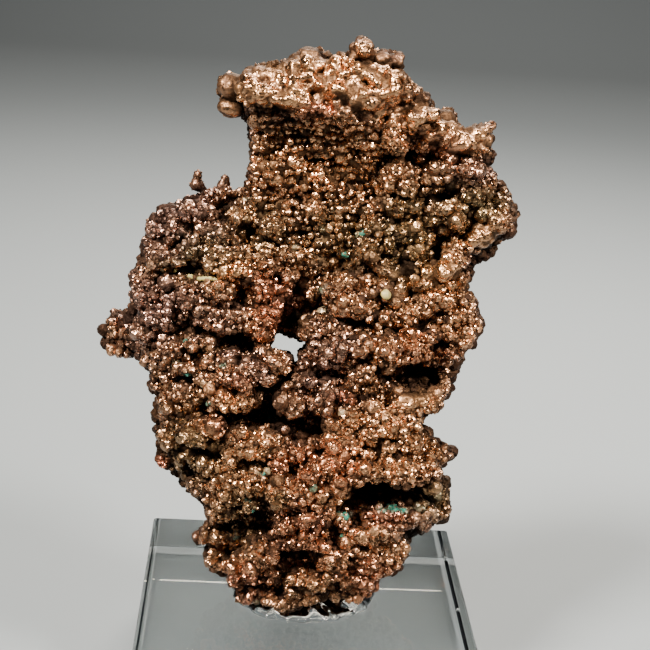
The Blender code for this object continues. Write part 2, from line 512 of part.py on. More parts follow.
def scattered(skin, dice):
    """Ball matrices of nodules spread at random over the back, sunk in a little."""
    balls = []
    facing_back = [face for face in skin.polygons
                   if face.normal.y > SCATTER_FACING and face.center.z > SCATTER_LOWEST]
    for polygon in dice.sample(facing_back, SCATTER_COUNT):
        radius = dice.uniform(*SCATTER_RADIUS) * MM
        centre = polygon.center - polygon.normal * radius * SCATTER_SUNK
        balls.append(Matrix.Translation(centre) @ Matrix.Scale(radius, 4))
    return balls


def hole_cutter():
    """The hole and the slit as one long cutter that slopes down to the back."""
    long_way = outline_mesh("hole", [HOLE_RIM, SLIT_RIM], HOLE_HALF)
    middle_x, middle_z = HOLE_MIDDLE
    slope = math.atan2(LEAN_Z - middle_z, LEAN_REACH)
    turn = math.atan2(middle_x - LEAN_X, LEAN_REACH)
    to_middle = Matrix.Translation((-middle_x * MM, -middle_z * MM, 0.0))
    upright = Matrix.Rotation(math.radians(90.0) - slope, 4, "X")
    place = Matrix.Translation((middle_x * MM, 0.0, middle_z * MM + BLOCK_HEIGHT))
    long_way.transform(place @ Matrix.Rotation(-turn, 4, "Z") @ upright @ to_middle)
    return add_cutter("hole", long_way)


def make_gel(material, nugget):
    """The pad of clear gel round the nugget's foot, flat on the block, with the foot's pocket."""
    blobs = ball_mesh("mounting_gel", [lobe(*values) for values in GEL_BLOBS], 3)
    gel = add_object("mounting_gel", blobs, model, material)
    foot = add_cutter("foot", evaluated(nugget))
    swell = foot.modifiers.new("Clearance", "DISPLACE")
    swell.mid_level = 0.0
    swell.strength = GEL_CLEARANCE
    fuse(foot, GEL_VOXEL)
    fuse(gel, GEL_VOXEL)
    cut(gel, foot)
    fuse(gel, GEL_VOXEL)
    thin_out(gel, GEL_TRIANGLES)
    cut(gel, add_cutter("block space", box_mesh("block space", GAP)))
    return gel


def box_mesh(name, raised):
    """A box of the block's size, raised by this much."""
    box = bmesh.new()
    middle = Matrix.Translation((0.0, 0.0, BLOCK_HEIGHT / 2 + raised))
    size = Matrix.Diagonal((BLOCK_SIDE, BLOCK_SIDE, BLOCK_HEIGHT, 1.0))
    bmesh.ops.create_cube(box, size=1.0, matrix=middle @ size)
    mesh = bpy.data.meshes.new(name)
    box.to_mesh(mesh)
    box.free()
    return mesh


def make_block(material):
    """The square acrylic block with its polished edges just broken."""
    block = add_object("acrylic_block", box_mesh("acrylic_block", 0.0), model, material)
    bevel = block.modifiers.new("Broken edges", "BEVEL")
    bevel.width = BLOCK_EDGE
    bevel.segments = 2
    return block


for old in list(bpy.data.objects):
    bpy.data.objects.remove(old, do_unlink=True)

model = bpy.data.collections.new("native copper nugget")
cutters = bpy.data.collections.new("cutters")
bpy.context.scene.collection.children.link(model)
bpy.context.scene.collection.children.link(cutters)

copper = make_material("native copper", (0.45, 0.21, 0.11), 1.0, 0.38)
gel_clear = make_material("clear gel", (0.95, 0.96, 0.97), 0.0, 0.05, 1.0, 1.49)
acrylic = make_material("clear acrylic", (0.97, 0.98, 0.98), 0.0, 0.02, 1.0, 1.49)

copper_nugget = make_nugget(copper, random.Random(SEED))
make_gel(gel_clear, copper_nugget)
make_block(acrylic)
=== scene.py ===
"""Native copper nugget in a pad of clear gel on a clear acrylic display block.

Metres, +Z up. The nugget's own points are given in millimetres as x along its sheet, z above
the top of the block, and depth out of the sheet's middle plane, forwards positive.
"""

import math

import bpy
import numpy as np
from mathutils import Matrix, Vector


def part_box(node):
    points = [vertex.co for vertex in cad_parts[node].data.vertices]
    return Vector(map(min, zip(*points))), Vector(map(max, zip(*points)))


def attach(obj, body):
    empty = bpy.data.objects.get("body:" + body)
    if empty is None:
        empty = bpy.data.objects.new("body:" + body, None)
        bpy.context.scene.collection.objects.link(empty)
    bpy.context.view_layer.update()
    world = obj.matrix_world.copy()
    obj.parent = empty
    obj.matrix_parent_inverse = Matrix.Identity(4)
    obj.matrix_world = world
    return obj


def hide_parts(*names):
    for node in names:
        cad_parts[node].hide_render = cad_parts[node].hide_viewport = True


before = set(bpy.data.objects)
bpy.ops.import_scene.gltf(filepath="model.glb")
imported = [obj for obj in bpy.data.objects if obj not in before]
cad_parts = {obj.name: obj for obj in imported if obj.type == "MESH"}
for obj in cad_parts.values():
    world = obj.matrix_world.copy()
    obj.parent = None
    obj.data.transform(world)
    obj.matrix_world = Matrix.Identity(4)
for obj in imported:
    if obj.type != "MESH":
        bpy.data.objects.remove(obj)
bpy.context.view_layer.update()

# ---------------------------------------------------------------------------------------------
# Display block: a square of cast acrylic (PMMA), sawn and then polished on every face, with its
# edges just broken. The nugget's pad is stuck to the middle of its top. The CAD solid has the
# real shape, so it stays and takes the material.
# ---------------------------------------------------------------------------------------------

MM = 0.001
BLOCK_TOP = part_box("acrylic_block")[1].z


def linear(code):
    """The linear colour of an sRGB hex code, opaque: each channel by the usual power curve."""
    channels = [int(code[i:i + 2], 16) / 255.0 for i in (0, 2, 4)]
    curved = [c / 12.92 if c <= 0.04045 else ((c + 0.055) / 1.055) ** 2.4 for c in channels]
    return (*curved, 1.0)


def add_node(tree, kind, inputs=None, **settings):
    """A shader node with its own settings, and its inputs set to values or linked to sockets."""
    node = tree.nodes.new(kind)
    for name, value in settings.items():
        setattr(node, name, value)
    for name, value in (inputs or {}).items():
        if isinstance(value, bpy.types.NodeSocket):
            tree.links.new(value, node.inputs[name])
        else:
            node.inputs[name].default_value = value
    return node


def new_material(name, **inputs):
    """A material with only a Principled shader: returns the material, its tree, its shader and
    the socket of its Object coordinates."""
    material = bpy.data.materials.new(name)
    material.use_nodes = True
    tree = material.node_tree
    tree.nodes.clear()
    shader = add_node(tree, "ShaderNodeBsdfPrincipled", inputs)
    add_node(tree, "ShaderNodeOutputMaterial", {"Surface": shader.outputs["BSDF"]})
    return material, tree, shader, add_node(tree, "ShaderNodeTexCoord").outputs["Object"]


def pattern_scale(millimetres):
    """The scale at which a texture on Object coordinates repeats about every so many mm."""
    return 1.0 / (millimetres * MM)


def clear_material(name, tint, roughness, ior, wave, detail, strength, swell):
    """A clear solid's material: full transmission with a tint, under a bump of soft waves so
    many mm apart and so many mm high."""
    material, tree, shader, place = new_material(name, **{
        "Base Color": linear(tint), "Roughness": roughness, "IOR": ior, "Transmission Weight": 1.0})
    waves = add_node(tree, "ShaderNodeTexNoise", {
        "Vector": place, "Scale": pattern_scale(wave), "Detail": detail})
    bump = add_node(tree, "ShaderNodeBump", {
        "Height": waves.outputs["Fac"], "Strength": strength, "Distance": swell * MM})
    tree.links.new(bump.outputs["Normal"], shader.inputs["Normal"])
    return material


# Polished cast acrylic: clear and colourless, with the faint waviness that a buffing wheel
# leaves, so that its reflections bend a little.
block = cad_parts["acrylic_block"]
block.data.materials.clear()
block.data.materials.append(clear_material(
    "polished cast acrylic", tint="F7FBFB", roughness=0.012, ior=1.49, wave=9.0, detail=1.0,
    strength=0.12, swell=0.1))

# ---------------------------------------------------------------------------------------------
# Gel pad: clear mounting gel, melted on and squeezed out into a wavy rim when the nugget's foot
# was pressed in. It is a low round cake on the block whose top rises into a lip.
# ---------------------------------------------------------------------------------------------

GEL_GAP = 0.02 * MM
GEL_MIDDLE = (-0.4, 0.1)
GEL_ROUND, GEL_ACROSS = 192, 40  # points round the pad, and from pole to pole
GEL_EDGE = [  # direction in degrees from +X, then how far out the pad's edge is
    (0, 8.9), (30, 8.4), (60, 7.9), (90, 7.7), (120, 8.2), (150, 8.9), (180, 8.8), (205, 8.4),
    (225, 8.3), (245, 7.9), (262, 7.5), (280, 7.5), (300, 7.6), (320, 8.2), (340, 8.7),
]
GEL_EDGE_WAVES = [(0.16, 11, 1.0), (0.1, 23, 0.0)]  # height in mm, waves round, start
GEL_RIPPLES = [(0.22, 7, 0.9, 0.0), (0.12, 17, -1.7, 2.0)]  # the same, slant before start
GEL_UNDER = 0.35  # the share of a profile that lies under the pad
GEL_LIP = 1.15
GEL_MIDDLE_HEIGHT = 1.7
GEL_LIP_INSIDE, GEL_LIP_WIDTH = 0.86, 0.5  # in shares of the radius
GEL_TONGUE, GEL_TONGUE_TURN, GEL_TONGUE_WIDTH = 1.7, 0.9, 0.035  # mm high, then turns
GEL_THINNEST = 0.02


def closed_curve(turns, pairs):
    """A smooth closed function of the turn (0 to 1): pairs of degrees and value, joined by
    cosine-eased steps."""
    degrees = np.array([pair[0] for pair in pairs] + [pairs[0][0] + 360.0])
    values = np.array([pair[1] for pair in pairs] + [pairs[0][1]])
    at = np.mod(turns, 1.0) * 360.0
    right = np.clip(np.searchsorted(degrees, at, side="right"), 1, len(degrees) - 1)
    part = (at - degrees[right - 1]) / (degrees[right] - degrees[right - 1])
    ease = 0.5 - 0.5 * np.cos(np.pi * part)
    return values[right - 1] + (values[right] - values[right - 1]) * ease


def in_scene(name, data):
    """A new object of the scene, round the data."""
    item = bpy.data.objects.new(name, data)
    bpy.context.scene.collection.objects.link(item)
    return item


def mesh_piece(name, points, faces, material, smooth=True):
    """A mesh object from arrays: points (n, 3) in metres and faces (m, k) with k corners each."""
    mesh = bpy.data.meshes.new(name)
    mesh.vertices.add(len(points))
    mesh.vertices.foreach_set("co", np.asarray(points, np.float32).ravel())
    count, corners = faces.shape
    mesh.loops.add(count * corners)
    mesh.loops.foreach_set("vertex_index", faces.astype(np.int32).ravel())
    mesh.polygons.add(count)
    mesh.polygons.foreach_set("loop_start", np.arange(count, dtype=np.int32) * corners)
    mesh.polygons.foreach_set("use_smooth", np.full(count, smooth))
    mesh.update(calc_edges=True)
    mesh.materials.append(material)
    return in_scene(name, mesh)


def gel_cake():
    """Rings round an upright axis. Across goes from the middle of the underside, out along it,
    round the edge and back over the top to the middle. The height at a share s of the radius
    is that of the lip, or of the middle further in, times the root of 1 - s^6, plus ripples
    that run round and one tongue that starts at its turn and falls off as a bell."""
    turn = np.arange(GEL_ROUND)[:, None] / GEL_ROUND
    run = np.linspace(0.0, 1.0, GEL_ACROSS)[None, :]
    share = np.where(run < GEL_UNDER, run / GEL_UNDER, np.sqrt(np.clip(
        (1.0 - run) / (1.0 - GEL_UNDER), 0.0, 1.0)))
    edge = closed_curve(turn, GEL_EDGE)
    for high, count, start in GEL_EDGE_WAVES:
        edge = edge + high * np.sin(math.tau * count * turn + start)
    body = np.sqrt(np.clip(1.0 - share ** 6, 0.0, 1.0))
    inner = np.clip((GEL_LIP_INSIDE - share) / GEL_LIP_WIDTH, 0.0, 1.0)
    height = body * (GEL_LIP + (GEL_MIDDLE_HEIGHT - GEL_LIP) * inner)
    for high, count, slant, start in GEL_RIPPLES:
        wave = np.sin(math.tau * (count * turn + slant * share) + start)
        height = height + high * wave * share * body
    fall = np.exp(-(np.mod(turn - GEL_TONGUE_TURN, 1.0) / GEL_TONGUE_WIDTH) ** 2)
    height = height + GEL_TONGUE * fall * body * share ** 2
    z = np.where(run < GEL_UNDER, 0.0, np.maximum(height, GEL_THINNEST))
    x = GEL_MIDDLE[0] + share * edge * np.cos(math.tau * turn)
    y = GEL_MIDDLE[1] + share * edge * np.sin(math.tau * turn)
    return np.stack([x * MM, y * MM, z * MM + BLOCK_TOP + GEL_GAP], axis=-1)


def close_rings(rings):
    """Points and triangles of rings whose first and last columns shrink to a point each."""
    around, across = rings.shape[:2]
    poles = np.stack([rings[:, 0].mean(axis=0), rings[:, -1].mean(axis=0)])
    points = np.concatenate([rings[:, 1:-1].reshape(-1, 3), poles])
    width = across - 2
    ring = np.arange(around)
    after = (ring + 1) % around
    step = np.arange(width - 1)
    a = ring[:, None] * width + step
    b = after[:, None] * width + step
    sides = np.stack([a, b, b + 1, a, b + 1, a + 1], axis=-1).reshape(-1, 3)
    first = np.stack([ring * width, np.full(around, around * width), after * width], axis=-1)
    last = np.stack([after * width + width - 1, np.full(around, around * width + 1),
                     ring * width + width - 1], axis=-1)
    return points, np.concatenate([sides, first, last])[:, ::-1]


# Clear mounting gel: soft, glossy and a little wavy, with the slightly lower index of a
# hydrocarbon gel and small ripples where it set.
gel = mesh_piece("gel_pad", *close_rings(gel_cake()), clear_material(
    "clear mounting gel", tint="F4F7F9", roughness=0.015, ior=1.47, wave=1.4, detail=2.0,
    strength=0.15, swell=0.25))
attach(gel, "root")
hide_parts("mounting_gel")

# ---------------------------------------------------------------------------------------------
# Nugget, main mass: native copper that grew in one piece, as a sheet with ledges of fused
# nodules. The solid's own form is kept as the core, and the ledges, the knobbly rim and the
# knobs are grown on it at their real fineness and melted into it.
# ---------------------------------------------------------------------------------------------

LEAN = np.array([-9.7, -165.0, 88.8])  # the far point that depth is drawn towards, in mm
SWAY_UP, SWAY_WAVE = 1.8, 58.0  # how far the sheet sways forwards, and over what height
WING_BACK, WING_WIDTH = 2.4, 20.0  # how far its sides lie back, and at what distance
BODY_VOXEL = 0.4
SEED = 29
SOLID_TRIES = 60000
RIM_INSET, HOLE_INSET = 0.3, 0.2
FRONT_RECESS = 1.3
RECESS_FROM, RECESS_FULL = 1.0, 2.5  # mm in from the rim, and further in
FOOT_CLEAR = 0.9  # no ledge or rim nodule reaches lower than this over the block
LEDGE_ROWS = [(0.9, 1.0, 0.7), (0.55, 0.62, 1.2), (0.42, 0.55, 0.7)]  # size, step, mm out
LEDGE_SHAPE = (1.0, 1.4, 0.78)
LEDGE_LEFT_OUT, LEDGE_SIZES = 0.22, (0.7, 1.35)
LEDGE_SHIFT, LEDGE_RISE, LEDGE_DEPTHS = 0.5, 0.9, (-1.5, 0.6)
RIM_BALLS = (0.6, 0.4, 0.8)  # step, least and largest radius
RIM_BEND = 5.0  # mm either way over which the rim's inward direction is worked out
RIM_SUNK, RIM_DEPTHS, RIM_SHAPE = 0.9, (-1.2, 1.8), (1.0, 1.2, 1.0)
LOBE_THICK, LOBE_PROUD = 1.25, 0.8
GAP_RIM, GAP_WALL = (1.75, 1.25), (2.0, 1.6)  # what a gap's share starts from, and its fall
PRESS_SLOPE, PRESS_BACK = (2.0, 0.6), 1.0  # by how far the skin faces forwards, and how deep
WIDE_SWELL, SMALL_SWELL = 2.5, 1.3  # mm across
WIDE_SHAPE = (1.0, 1.0, 1.2)
SMALL_SWELL_HIGH, SWELL_MEAN = 0.4, 0.85
CREVICE_FROM, CREVICE_FULL = 0.55, 0.15  # heights of the domes
RIM_SWELL, RIM_CREVICE = 0.3, 0.4  # shares of both that are left at the rim

# The true outline, x and z in millimetres, clockwise from the left end of the crest.
OUTLINE = [
    (-10.3, 60.6), (-10.9, 61.0), (-11.6, 58.6), (-12.6, 58.5), (-13.4, 59.3), (-13.4, 60.3),
    (-13.0, 60.9), (-13.6, 61.7), (-13.4, 62.8), (-12.4, 63.4), (-11.4, 63.1), (-10.8, 63.2),
    (-10.2, 64.1), (-8.1, 64.5), (-6.4, 65.0), (-5.0, 66.1), (-4.0, 66.8), (-2.1, 66.9),
    (-1.3, 65.7), (-0.8, 66.2), (0.8, 66.3), (0.95, 67.3), (1.7, 68.1), (2.6, 68.0),
    (3.1, 67.2), (3.3, 66.7), (4.4, 67.0), (5.8, 67.1), (6.7, 66.6), (6.8, 65.7),
    (6.2, 64.9), (7.5, 63.7), (8.1, 63.1), (9.0, 62.9), (9.9, 62.5), (10.0, 62.0),
    (10.4, 60.8), (11.0, 60.5), (12.1, 60.9), (13.1, 60.4), (13.4, 59.2), (14.1, 58.5),
    (15.8, 59.4), (17.3, 59.6), (17.6, 58.6), (17.2, 57.4), (16.7, 56.6), (17.8, 56.5),
    (17.4, 55.6), (16.6, 54.8), (17.7, 54.1), (18.8, 53.2), (19.5, 52.7), (20.1, 51.3),
    (20.8, 50.4), (21.1, 48.9), (20.8, 47.4), (20.2, 46.7), (18.9, 45.9), (19.0, 45.2),
    (17.9, 43.9), (16.8, 43.2), (16.3, 43.6), (16.6, 42.3), (15.9, 40.5), (17.2, 38.7),
    (17.9, 37.1), (18.6, 35.6), (17.8, 34.3), (17.0, 33.0), (16.4, 32.9), (16.7, 31.5),
    (15.7, 29.3), (14.9, 28.7), (15.7, 27.8), (14.4, 26.5), (14.65, 25.4), (14.1, 24.8),
    (13.3, 24.9), (12.7, 25.0), (11.9, 23.95), (12.5, 23.2), (13.5, 22.0), (13.6, 21.0),
    (14.6, 21.2), (15.3, 21.0), (15.9, 20.3), (16.6, 19.9), (16.8, 19.5), (15.8, 18.6),
    (14.8, 17.7), (14.9, 16.7), (15.7, 16.4), (16.35, 15.4), (16.4, 14.4), (16.7, 13.7),
    (16.3, 13.3), (16.85, 12.5), (16.8, 11.9), (16.0, 10.9), (15.4, 10.9), (14.9, 10.4),
    (14.4, 9.2), (13.7, 9.0), (13.0, 9.8), (12.2, 9.7), (11.75, 9.9), (10.95, 9.3),
    (11.3, 9.0), (12.0, 7.5), (12.0, 6.5), (11.65, 4.6), (11.1, 4.1), (10.1, 3.4),
    (9.4, 3.2), (8.7, 2.5), (8.4, 1.9), (8.5, 1.1), (7.8, 0.0), (7.1, -0.2), (5.2, -0.5),
    (3.0, 0.0), (2.1, -0.3), (1.1, -1.1), (0.4, -1.5), (-0.9, -1.5), (-2.0, -2.3),
    (-3.4, -2.3), (-4.0, -1.7), (-6.7, -1.75), (-8.0, -1.4), (-8.3, 0.0), (-9.1, 0.3),
    (-9.3, 1.1), (-9.2, 2.05), (-9.9, 2.4), (-11.7, 2.9), (-12.0, 3.9), (-12.3, 5.8),
    (-11.2, 6.2), (-12.0, 6.5), (-13.4, 6.7), (-13.85, 7.1), (-13.4, 7.7), (-12.65, 8.4),
    (-12.3, 9.2), (-12.6, 10.9), (-12.95, 11.7), (-13.5, 12.4), (-14.3, 12.8),
    (-15.05, 13.6), (-15.95, 14.4), (-16.0, 15.4), (-16.7, 15.4), (-17.3, 15.9),
    (-18.3, 16.3), (-18.3, 17.2), (-18.9, 18.3), (-18.75, 19.6), (-18.8, 20.4),
    (-18.9, 22.0), (-19.3, 24.6), (-18.5, 25.3), (-19.9, 26.5), (-19.8, 28.6),
    (-20.8, 29.3), (-22.0, 29.9), (-24.0, 30.5), (-25.1, 30.6), (-25.0, 32.1),
    (-25.7, 32.8), (-24.9, 33.5), (-25.0, 34.6), (-24.0, 35.4), (-22.9, 35.4),
    (-22.3, 35.9), (-22.4, 39.0), (-21.9, 40.5), (-21.3, 42.1), (-21.1, 44.0),
    (-20.4, 44.6), (-20.8, 46.5), (-19.3, 47.3), (-18.5, 48.2), (-17.3, 48.4),
    (-16.5, 49.5), (-15.0, 49.3), (-13.8, 50.2), (-12.2, 50.4), (-10.5, 50.2),
    (-9.9, 51.0), (-10.0, 51.8), (-9.2, 52.7), (-9.5, 54.0), (-9.3, 55.5), (-9.7, 57.0),
    (-9.9, 58.0), (-10.4, 59.0),
]

# The small hole right through, with the slit that runs down from it.
HOLE = [
    (-5.6, 33.7), (-5.1, 33.8), (-4.5, 33.4), (-3.4, 33.2), (-2.75, 32.7), (-1.75, 33.05),
    (-1.6, 32.9), (-2.65, 31.85), (-2.8, 31.0), (-2.65, 30.5), (-3.1, 30.2), (-3.35, 31.1),
    (-3.6, 31.5), (-4.85, 31.6), (-6.4, 31.8), (-6.0, 32.15), (-5.65, 32.8),
]

# Ledges: depth, nodule radius, then the x and z that the ledge passes through.
LEDGES = [
    (3.6, 1.0, [(-19.4, 46.3), (-16.2, 47.4), (-13.5, 47.0), (-10.0, 47.6)]),
    (5.0, 1.0, [(-19.8, 44.4), (-17.5, 44.6), (-14.0, 44.8), (-10.5, 44.8)]),
    (5.8, 1.2, [(-19.0, 42.2), (-16.0, 42.4), (-13.0, 42.2), (-10.6, 42.6), (-9.0, 41.2)]),
    (4.4, 1.3, [(-20.8, 40.0), (-18.6, 39.6)]),
    (6.6, 1.3, [(-20.6, 38.0), (-17.4, 38.0), (-13.6, 38.6), (-10.5, 39.2), (-8.0, 39.6)]),
    (7.0, 1.0, [(-18.2, 36.7), (-16.5, 37.2), (-13.6, 36.9)]),
    (6.6, 1.4, [(-20.2, 34.9), (-17.0, 34.8), (-13.5, 34.9), (-10.5, 35.3), (-7.5, 35.7)]),
    (6.0, 1.2, [(-19.4, 32.8), (-17.8, 32.4)]),
    (6.2, 1.1, [(-14.8, 32.8), (-13.2, 32.4)]),
    (6.2, 1.3, [(-19.4, 30.8), (-17.4, 31.0)]),
    (7.0, 1.4, [(-12.0, 30.2), (-9.5, 29.7), (-7.0, 29.4), (-5.4, 30.2)]),
    (5.6, 1.3, [(-19.0, 28.2), (-17.4, 28.5), (-15.2, 29.4), (-12.6, 28.6)]),
    (7.0, 1.3, [(-12.4, 27.8), (-10.4, 27.6), (-8.4, 27.8)]),
    (5.4, 1.2, [(-17.3, 25.0), (-15.5, 25.6), (-13.8, 25.0)]),
    (6.6, 1.4, [(-12.2, 25.2), (-10.4, 25.3), (-8.4, 25.0)]),
    (5.0, 1.0, [(-17.4, 22.6), (-15.0, 22.8), (-12.2, 22.6)]),
    (6.0, 1.4, [(-14.4, 20.6), (-12.6, 21.0), (-11.2, 20.8)]),
    (4.6, 1.1, [(-17.2, 19.0), (-15.0, 19.3), (-13.6, 18.8)]),
    (7.4, 1.6, [(-9.6, 20.0), (-7.5, 20.0), (-5.2, 19.7)]),
    (5.6, 1.2, [(-12.6, 17.0), (-9.8, 17.0), (-7.6, 17.4)]),
    (7.4, 1.5, [(-9.4, 15.4), (-7.0, 15.5), (-5.0, 15.3)]),
    (5.0, 1.4, [(-13.3, 14.3), (-11.2, 14.2), (-9.8, 13.6)]),
    (6.8, 1.2, [(-7.8, 13.4), (-6.2, 13.4), (-5.0, 13.8)]),
    (5.0, 1.3, [(-11.4, 11.2), (-9.4, 11.6)]),
    (3.0, 0.9, [(-12.9, 7.3), (-11.2, 7.4), (-9.0, 7.7), (-7.4, 8.0)]),
    (4.8, 1.4, [(-10.0, 3.7), (-8.4, 4.1), (-6.2, 4.4)]),
    (6.8, 1.3, [(-3.4, 27.2), (-1.0, 28.0), (0.4, 27.2), (3.0, 27.4)]),
    (6.8, 1.2, [(-3.8, 24.8), (-2.4, 24.9)]),
    (8.0, 1.1, [(0.6, 25.3), (3.4, 25.8)]),
    (7.8, 1.3, [(3.6, 24.4), (6.0, 24.4), (8.0, 24.2), (10.8, 25.6), (12.6, 26.3)]),
    (8.2, 1.4, [(2.4, 22.9), (5.0, 22.6), (7.5, 23.0), (10.0, 22.8)]),
    (7.8, 1.3, [(2.4, 20.9), (5.5, 20.8), (8.0, 21.4), (10.0, 20.8), (12.0, 21.0)]),
    (8.4, 1.5, [(6.4, 19.4), (8.2, 19.5), (10.4, 19.0)]),
    (4.6, 1.4, [(12.4, 19.2), (13.8, 19.4), (15.2, 19.3)]),
    (7.6, 1.3, [(-3.4, 17.6), (-0.8, 18.8), (1.8, 19.2), (3.2, 19.0)]),
    (8.6, 1.6, [(1.5, 16.4), (4.5, 17.2), (7.5, 17.4), (10.5, 16.9), (14.0, 17.0)]),
    (9.0, 1.4, [(-1.5, 15.4), (1.0, 15.8), (3.0, 15.2)]),
    (9.2, 1.5, [(-3.6, 13.4), (-1.0, 13.8), (1.5, 13.4), (2.6, 12.6)]),
    (9.0, 1.4, [(-3.9, 12.0), (-1.5, 11.6), (1.0, 11.2)]),
    (7.0, 1.4, [(4.4, 10.8), (6.5, 10.7), (9.0, 10.9), (11.3, 11.1), (13.4, 11.5)]),
    (3.4, 1.2, [(13.2, 11.4), (15.3, 12.4), (15.5, 14.6)]),
    (7.8, 1.0, [(3.6, 9.3), (5.2, 8.9), (8.4, 8.8), (9.8, 9.2)]),
    (8.8, 1.3, [(-3.5, 9.0), (-1.0, 8.8), (1.2, 9.2)]),
    (8.6, 1.3, [(-4.5, 6.6), (-2.0, 7.0), (0.5, 7.0), (2.5, 6.6), (5.0, 7.0), (8.0, 7.4)]),
    (6.2, 1.3, [(9.6, 7.8), (11.0, 6.9), (11.1, 5.4)]),
    (7.6, 1.5, [(2.8, 5.2), (4.8, 4.6), (7.0, 4.9), (9.4, 4.8)]),
    (8.0, 1.3, [(0.6, 2.4), (3.0, 2.6), (5.2, 2.8), (7.2, 2.8)]),
    (7.2, 1.2, [(3.6, 0.3), (5.8, 0.2), (7.9, 0.6)]),
    (7.4, 1.5, [(-5.8, 5.4), (-5.4, 3.6), (-5.2, 2.0)]),
    (6.4, 1.0, [(-8.2, 1.9), (-6.5, 1.5), (-4.2, 1.3)]),
    (7.8, 1.0, [(-1.6, 1.4), (0.5, 1.8)]),
    (6.0, 1.1, [(-7.2, -0.6), (-5.4, -0.6)]),
    (7.6, 1.1, [(-3.6, -1.3), (-2.6, -1.4), (-0.6, -1.0), (0.8, -0.5)]),
    (6.2, 1.3, [(-7.2, 38.0), (-6.4, 36.4), (-7.0, 34.4)]),
    (5.6, 1.3, [(-0.9, 33.8), (0.4, 34.2), (2.4, 34.0), (4.8, 34.2)]),
    (5.8, 1.3, [(-1.4, 31.0), (-0.8, 29.8)]),
    (8.0, 1.3, [(1.8, 31.4), (5.4, 32.0), (7.5, 32.4), (10.0, 32.8)]),
    (8.0, 1.2, [(4.2, 28.6), (6.2, 29.2)]),
    (7.4, 1.4, [(5.0, 36.0), (7.6, 36.4), (9.6, 36.9)]),
    (7.0, 1.5, [(10.4, 34.6), (13.0, 35.4), (15.6, 36.0), (16.9, 35.4)]),
    (6.0, 1.3, [(13.0, 32.4), (15.0, 32.8)]),
    (5.0, 1.3, [(13.6, 29.0), (13.4, 27.4)]),
    (7.0, 1.4, [(8.2, 40.2), (6.0, 39.4), (3.4, 38.8), (1.0, 38.6)]),
    (7.2, 1.4, [(10.6, 41.6), (12.8, 42.0), (14.6, 43.4)]),
    (6.6, 1.4, [(11.4, 38.6), (13.8, 39.2), (15.4, 39.6)]),
    (4.2, 1.2, [(-3.4, 39.6), (-5.6, 41.0), (-7.4, 42.8)]),
    (6.0, 1.3, [(14.8, 45.2), (16.9, 46.4), (19.2, 47.6)]),
    (5.4, 1.4, [(13.6, 47.4), (16.0, 49.0), (18.8, 50.2)]),
    (5.2, 1.4, [(12.4, 50.4), (15.0, 51.4), (16.9, 52.0)]),
    (5.0, 1.4, [(10.6, 53.6), (13.0, 54.2), (15.2, 54.4)]),
    (5.6, 1.5, [(5.6, 57.2), (7.6, 57.4)]),
    (5.8, 1.3, [(6.6, 53.6), (8.6, 52.4), (10.6, 51.6)]),
    (5.6, 1.3, [(6.0, 49.6), (8.4, 49.2), (10.8, 48.8)]),
    (6.0, 1.3, [(5.4, 46.6), (8.0, 46.4), (10.4, 46.8)]),
    (6.0, 1.3, [(4.0, 43.8), (6.6, 43.6), (9.4, 43.8)]),
    (4.6, 1.9, [(-9.0, 61.4), (-6.0, 61.2), (-3.0, 60.8), (-0.6, 61.4), (2.2, 62.4)]),
    (3.4, 1.7, [(-9.2, 62.8), (-6.4, 63.0), (-3.0, 64.2), (0.0, 64.2), (3.0, 64.0)]),
    (4.4, 1.7, [(3.4, 62.0), (5.8, 62.2), (8.0, 61.0), (9.8, 59.8)]),
    (3.8, 1.6, [(10.6, 58.8), (12.4, 57.6), (12.8, 55.8)]),
    (4.4, 1.2, [(0.0, 59.6), (2.4, 59.4), (4.6, 59.4)]),
]

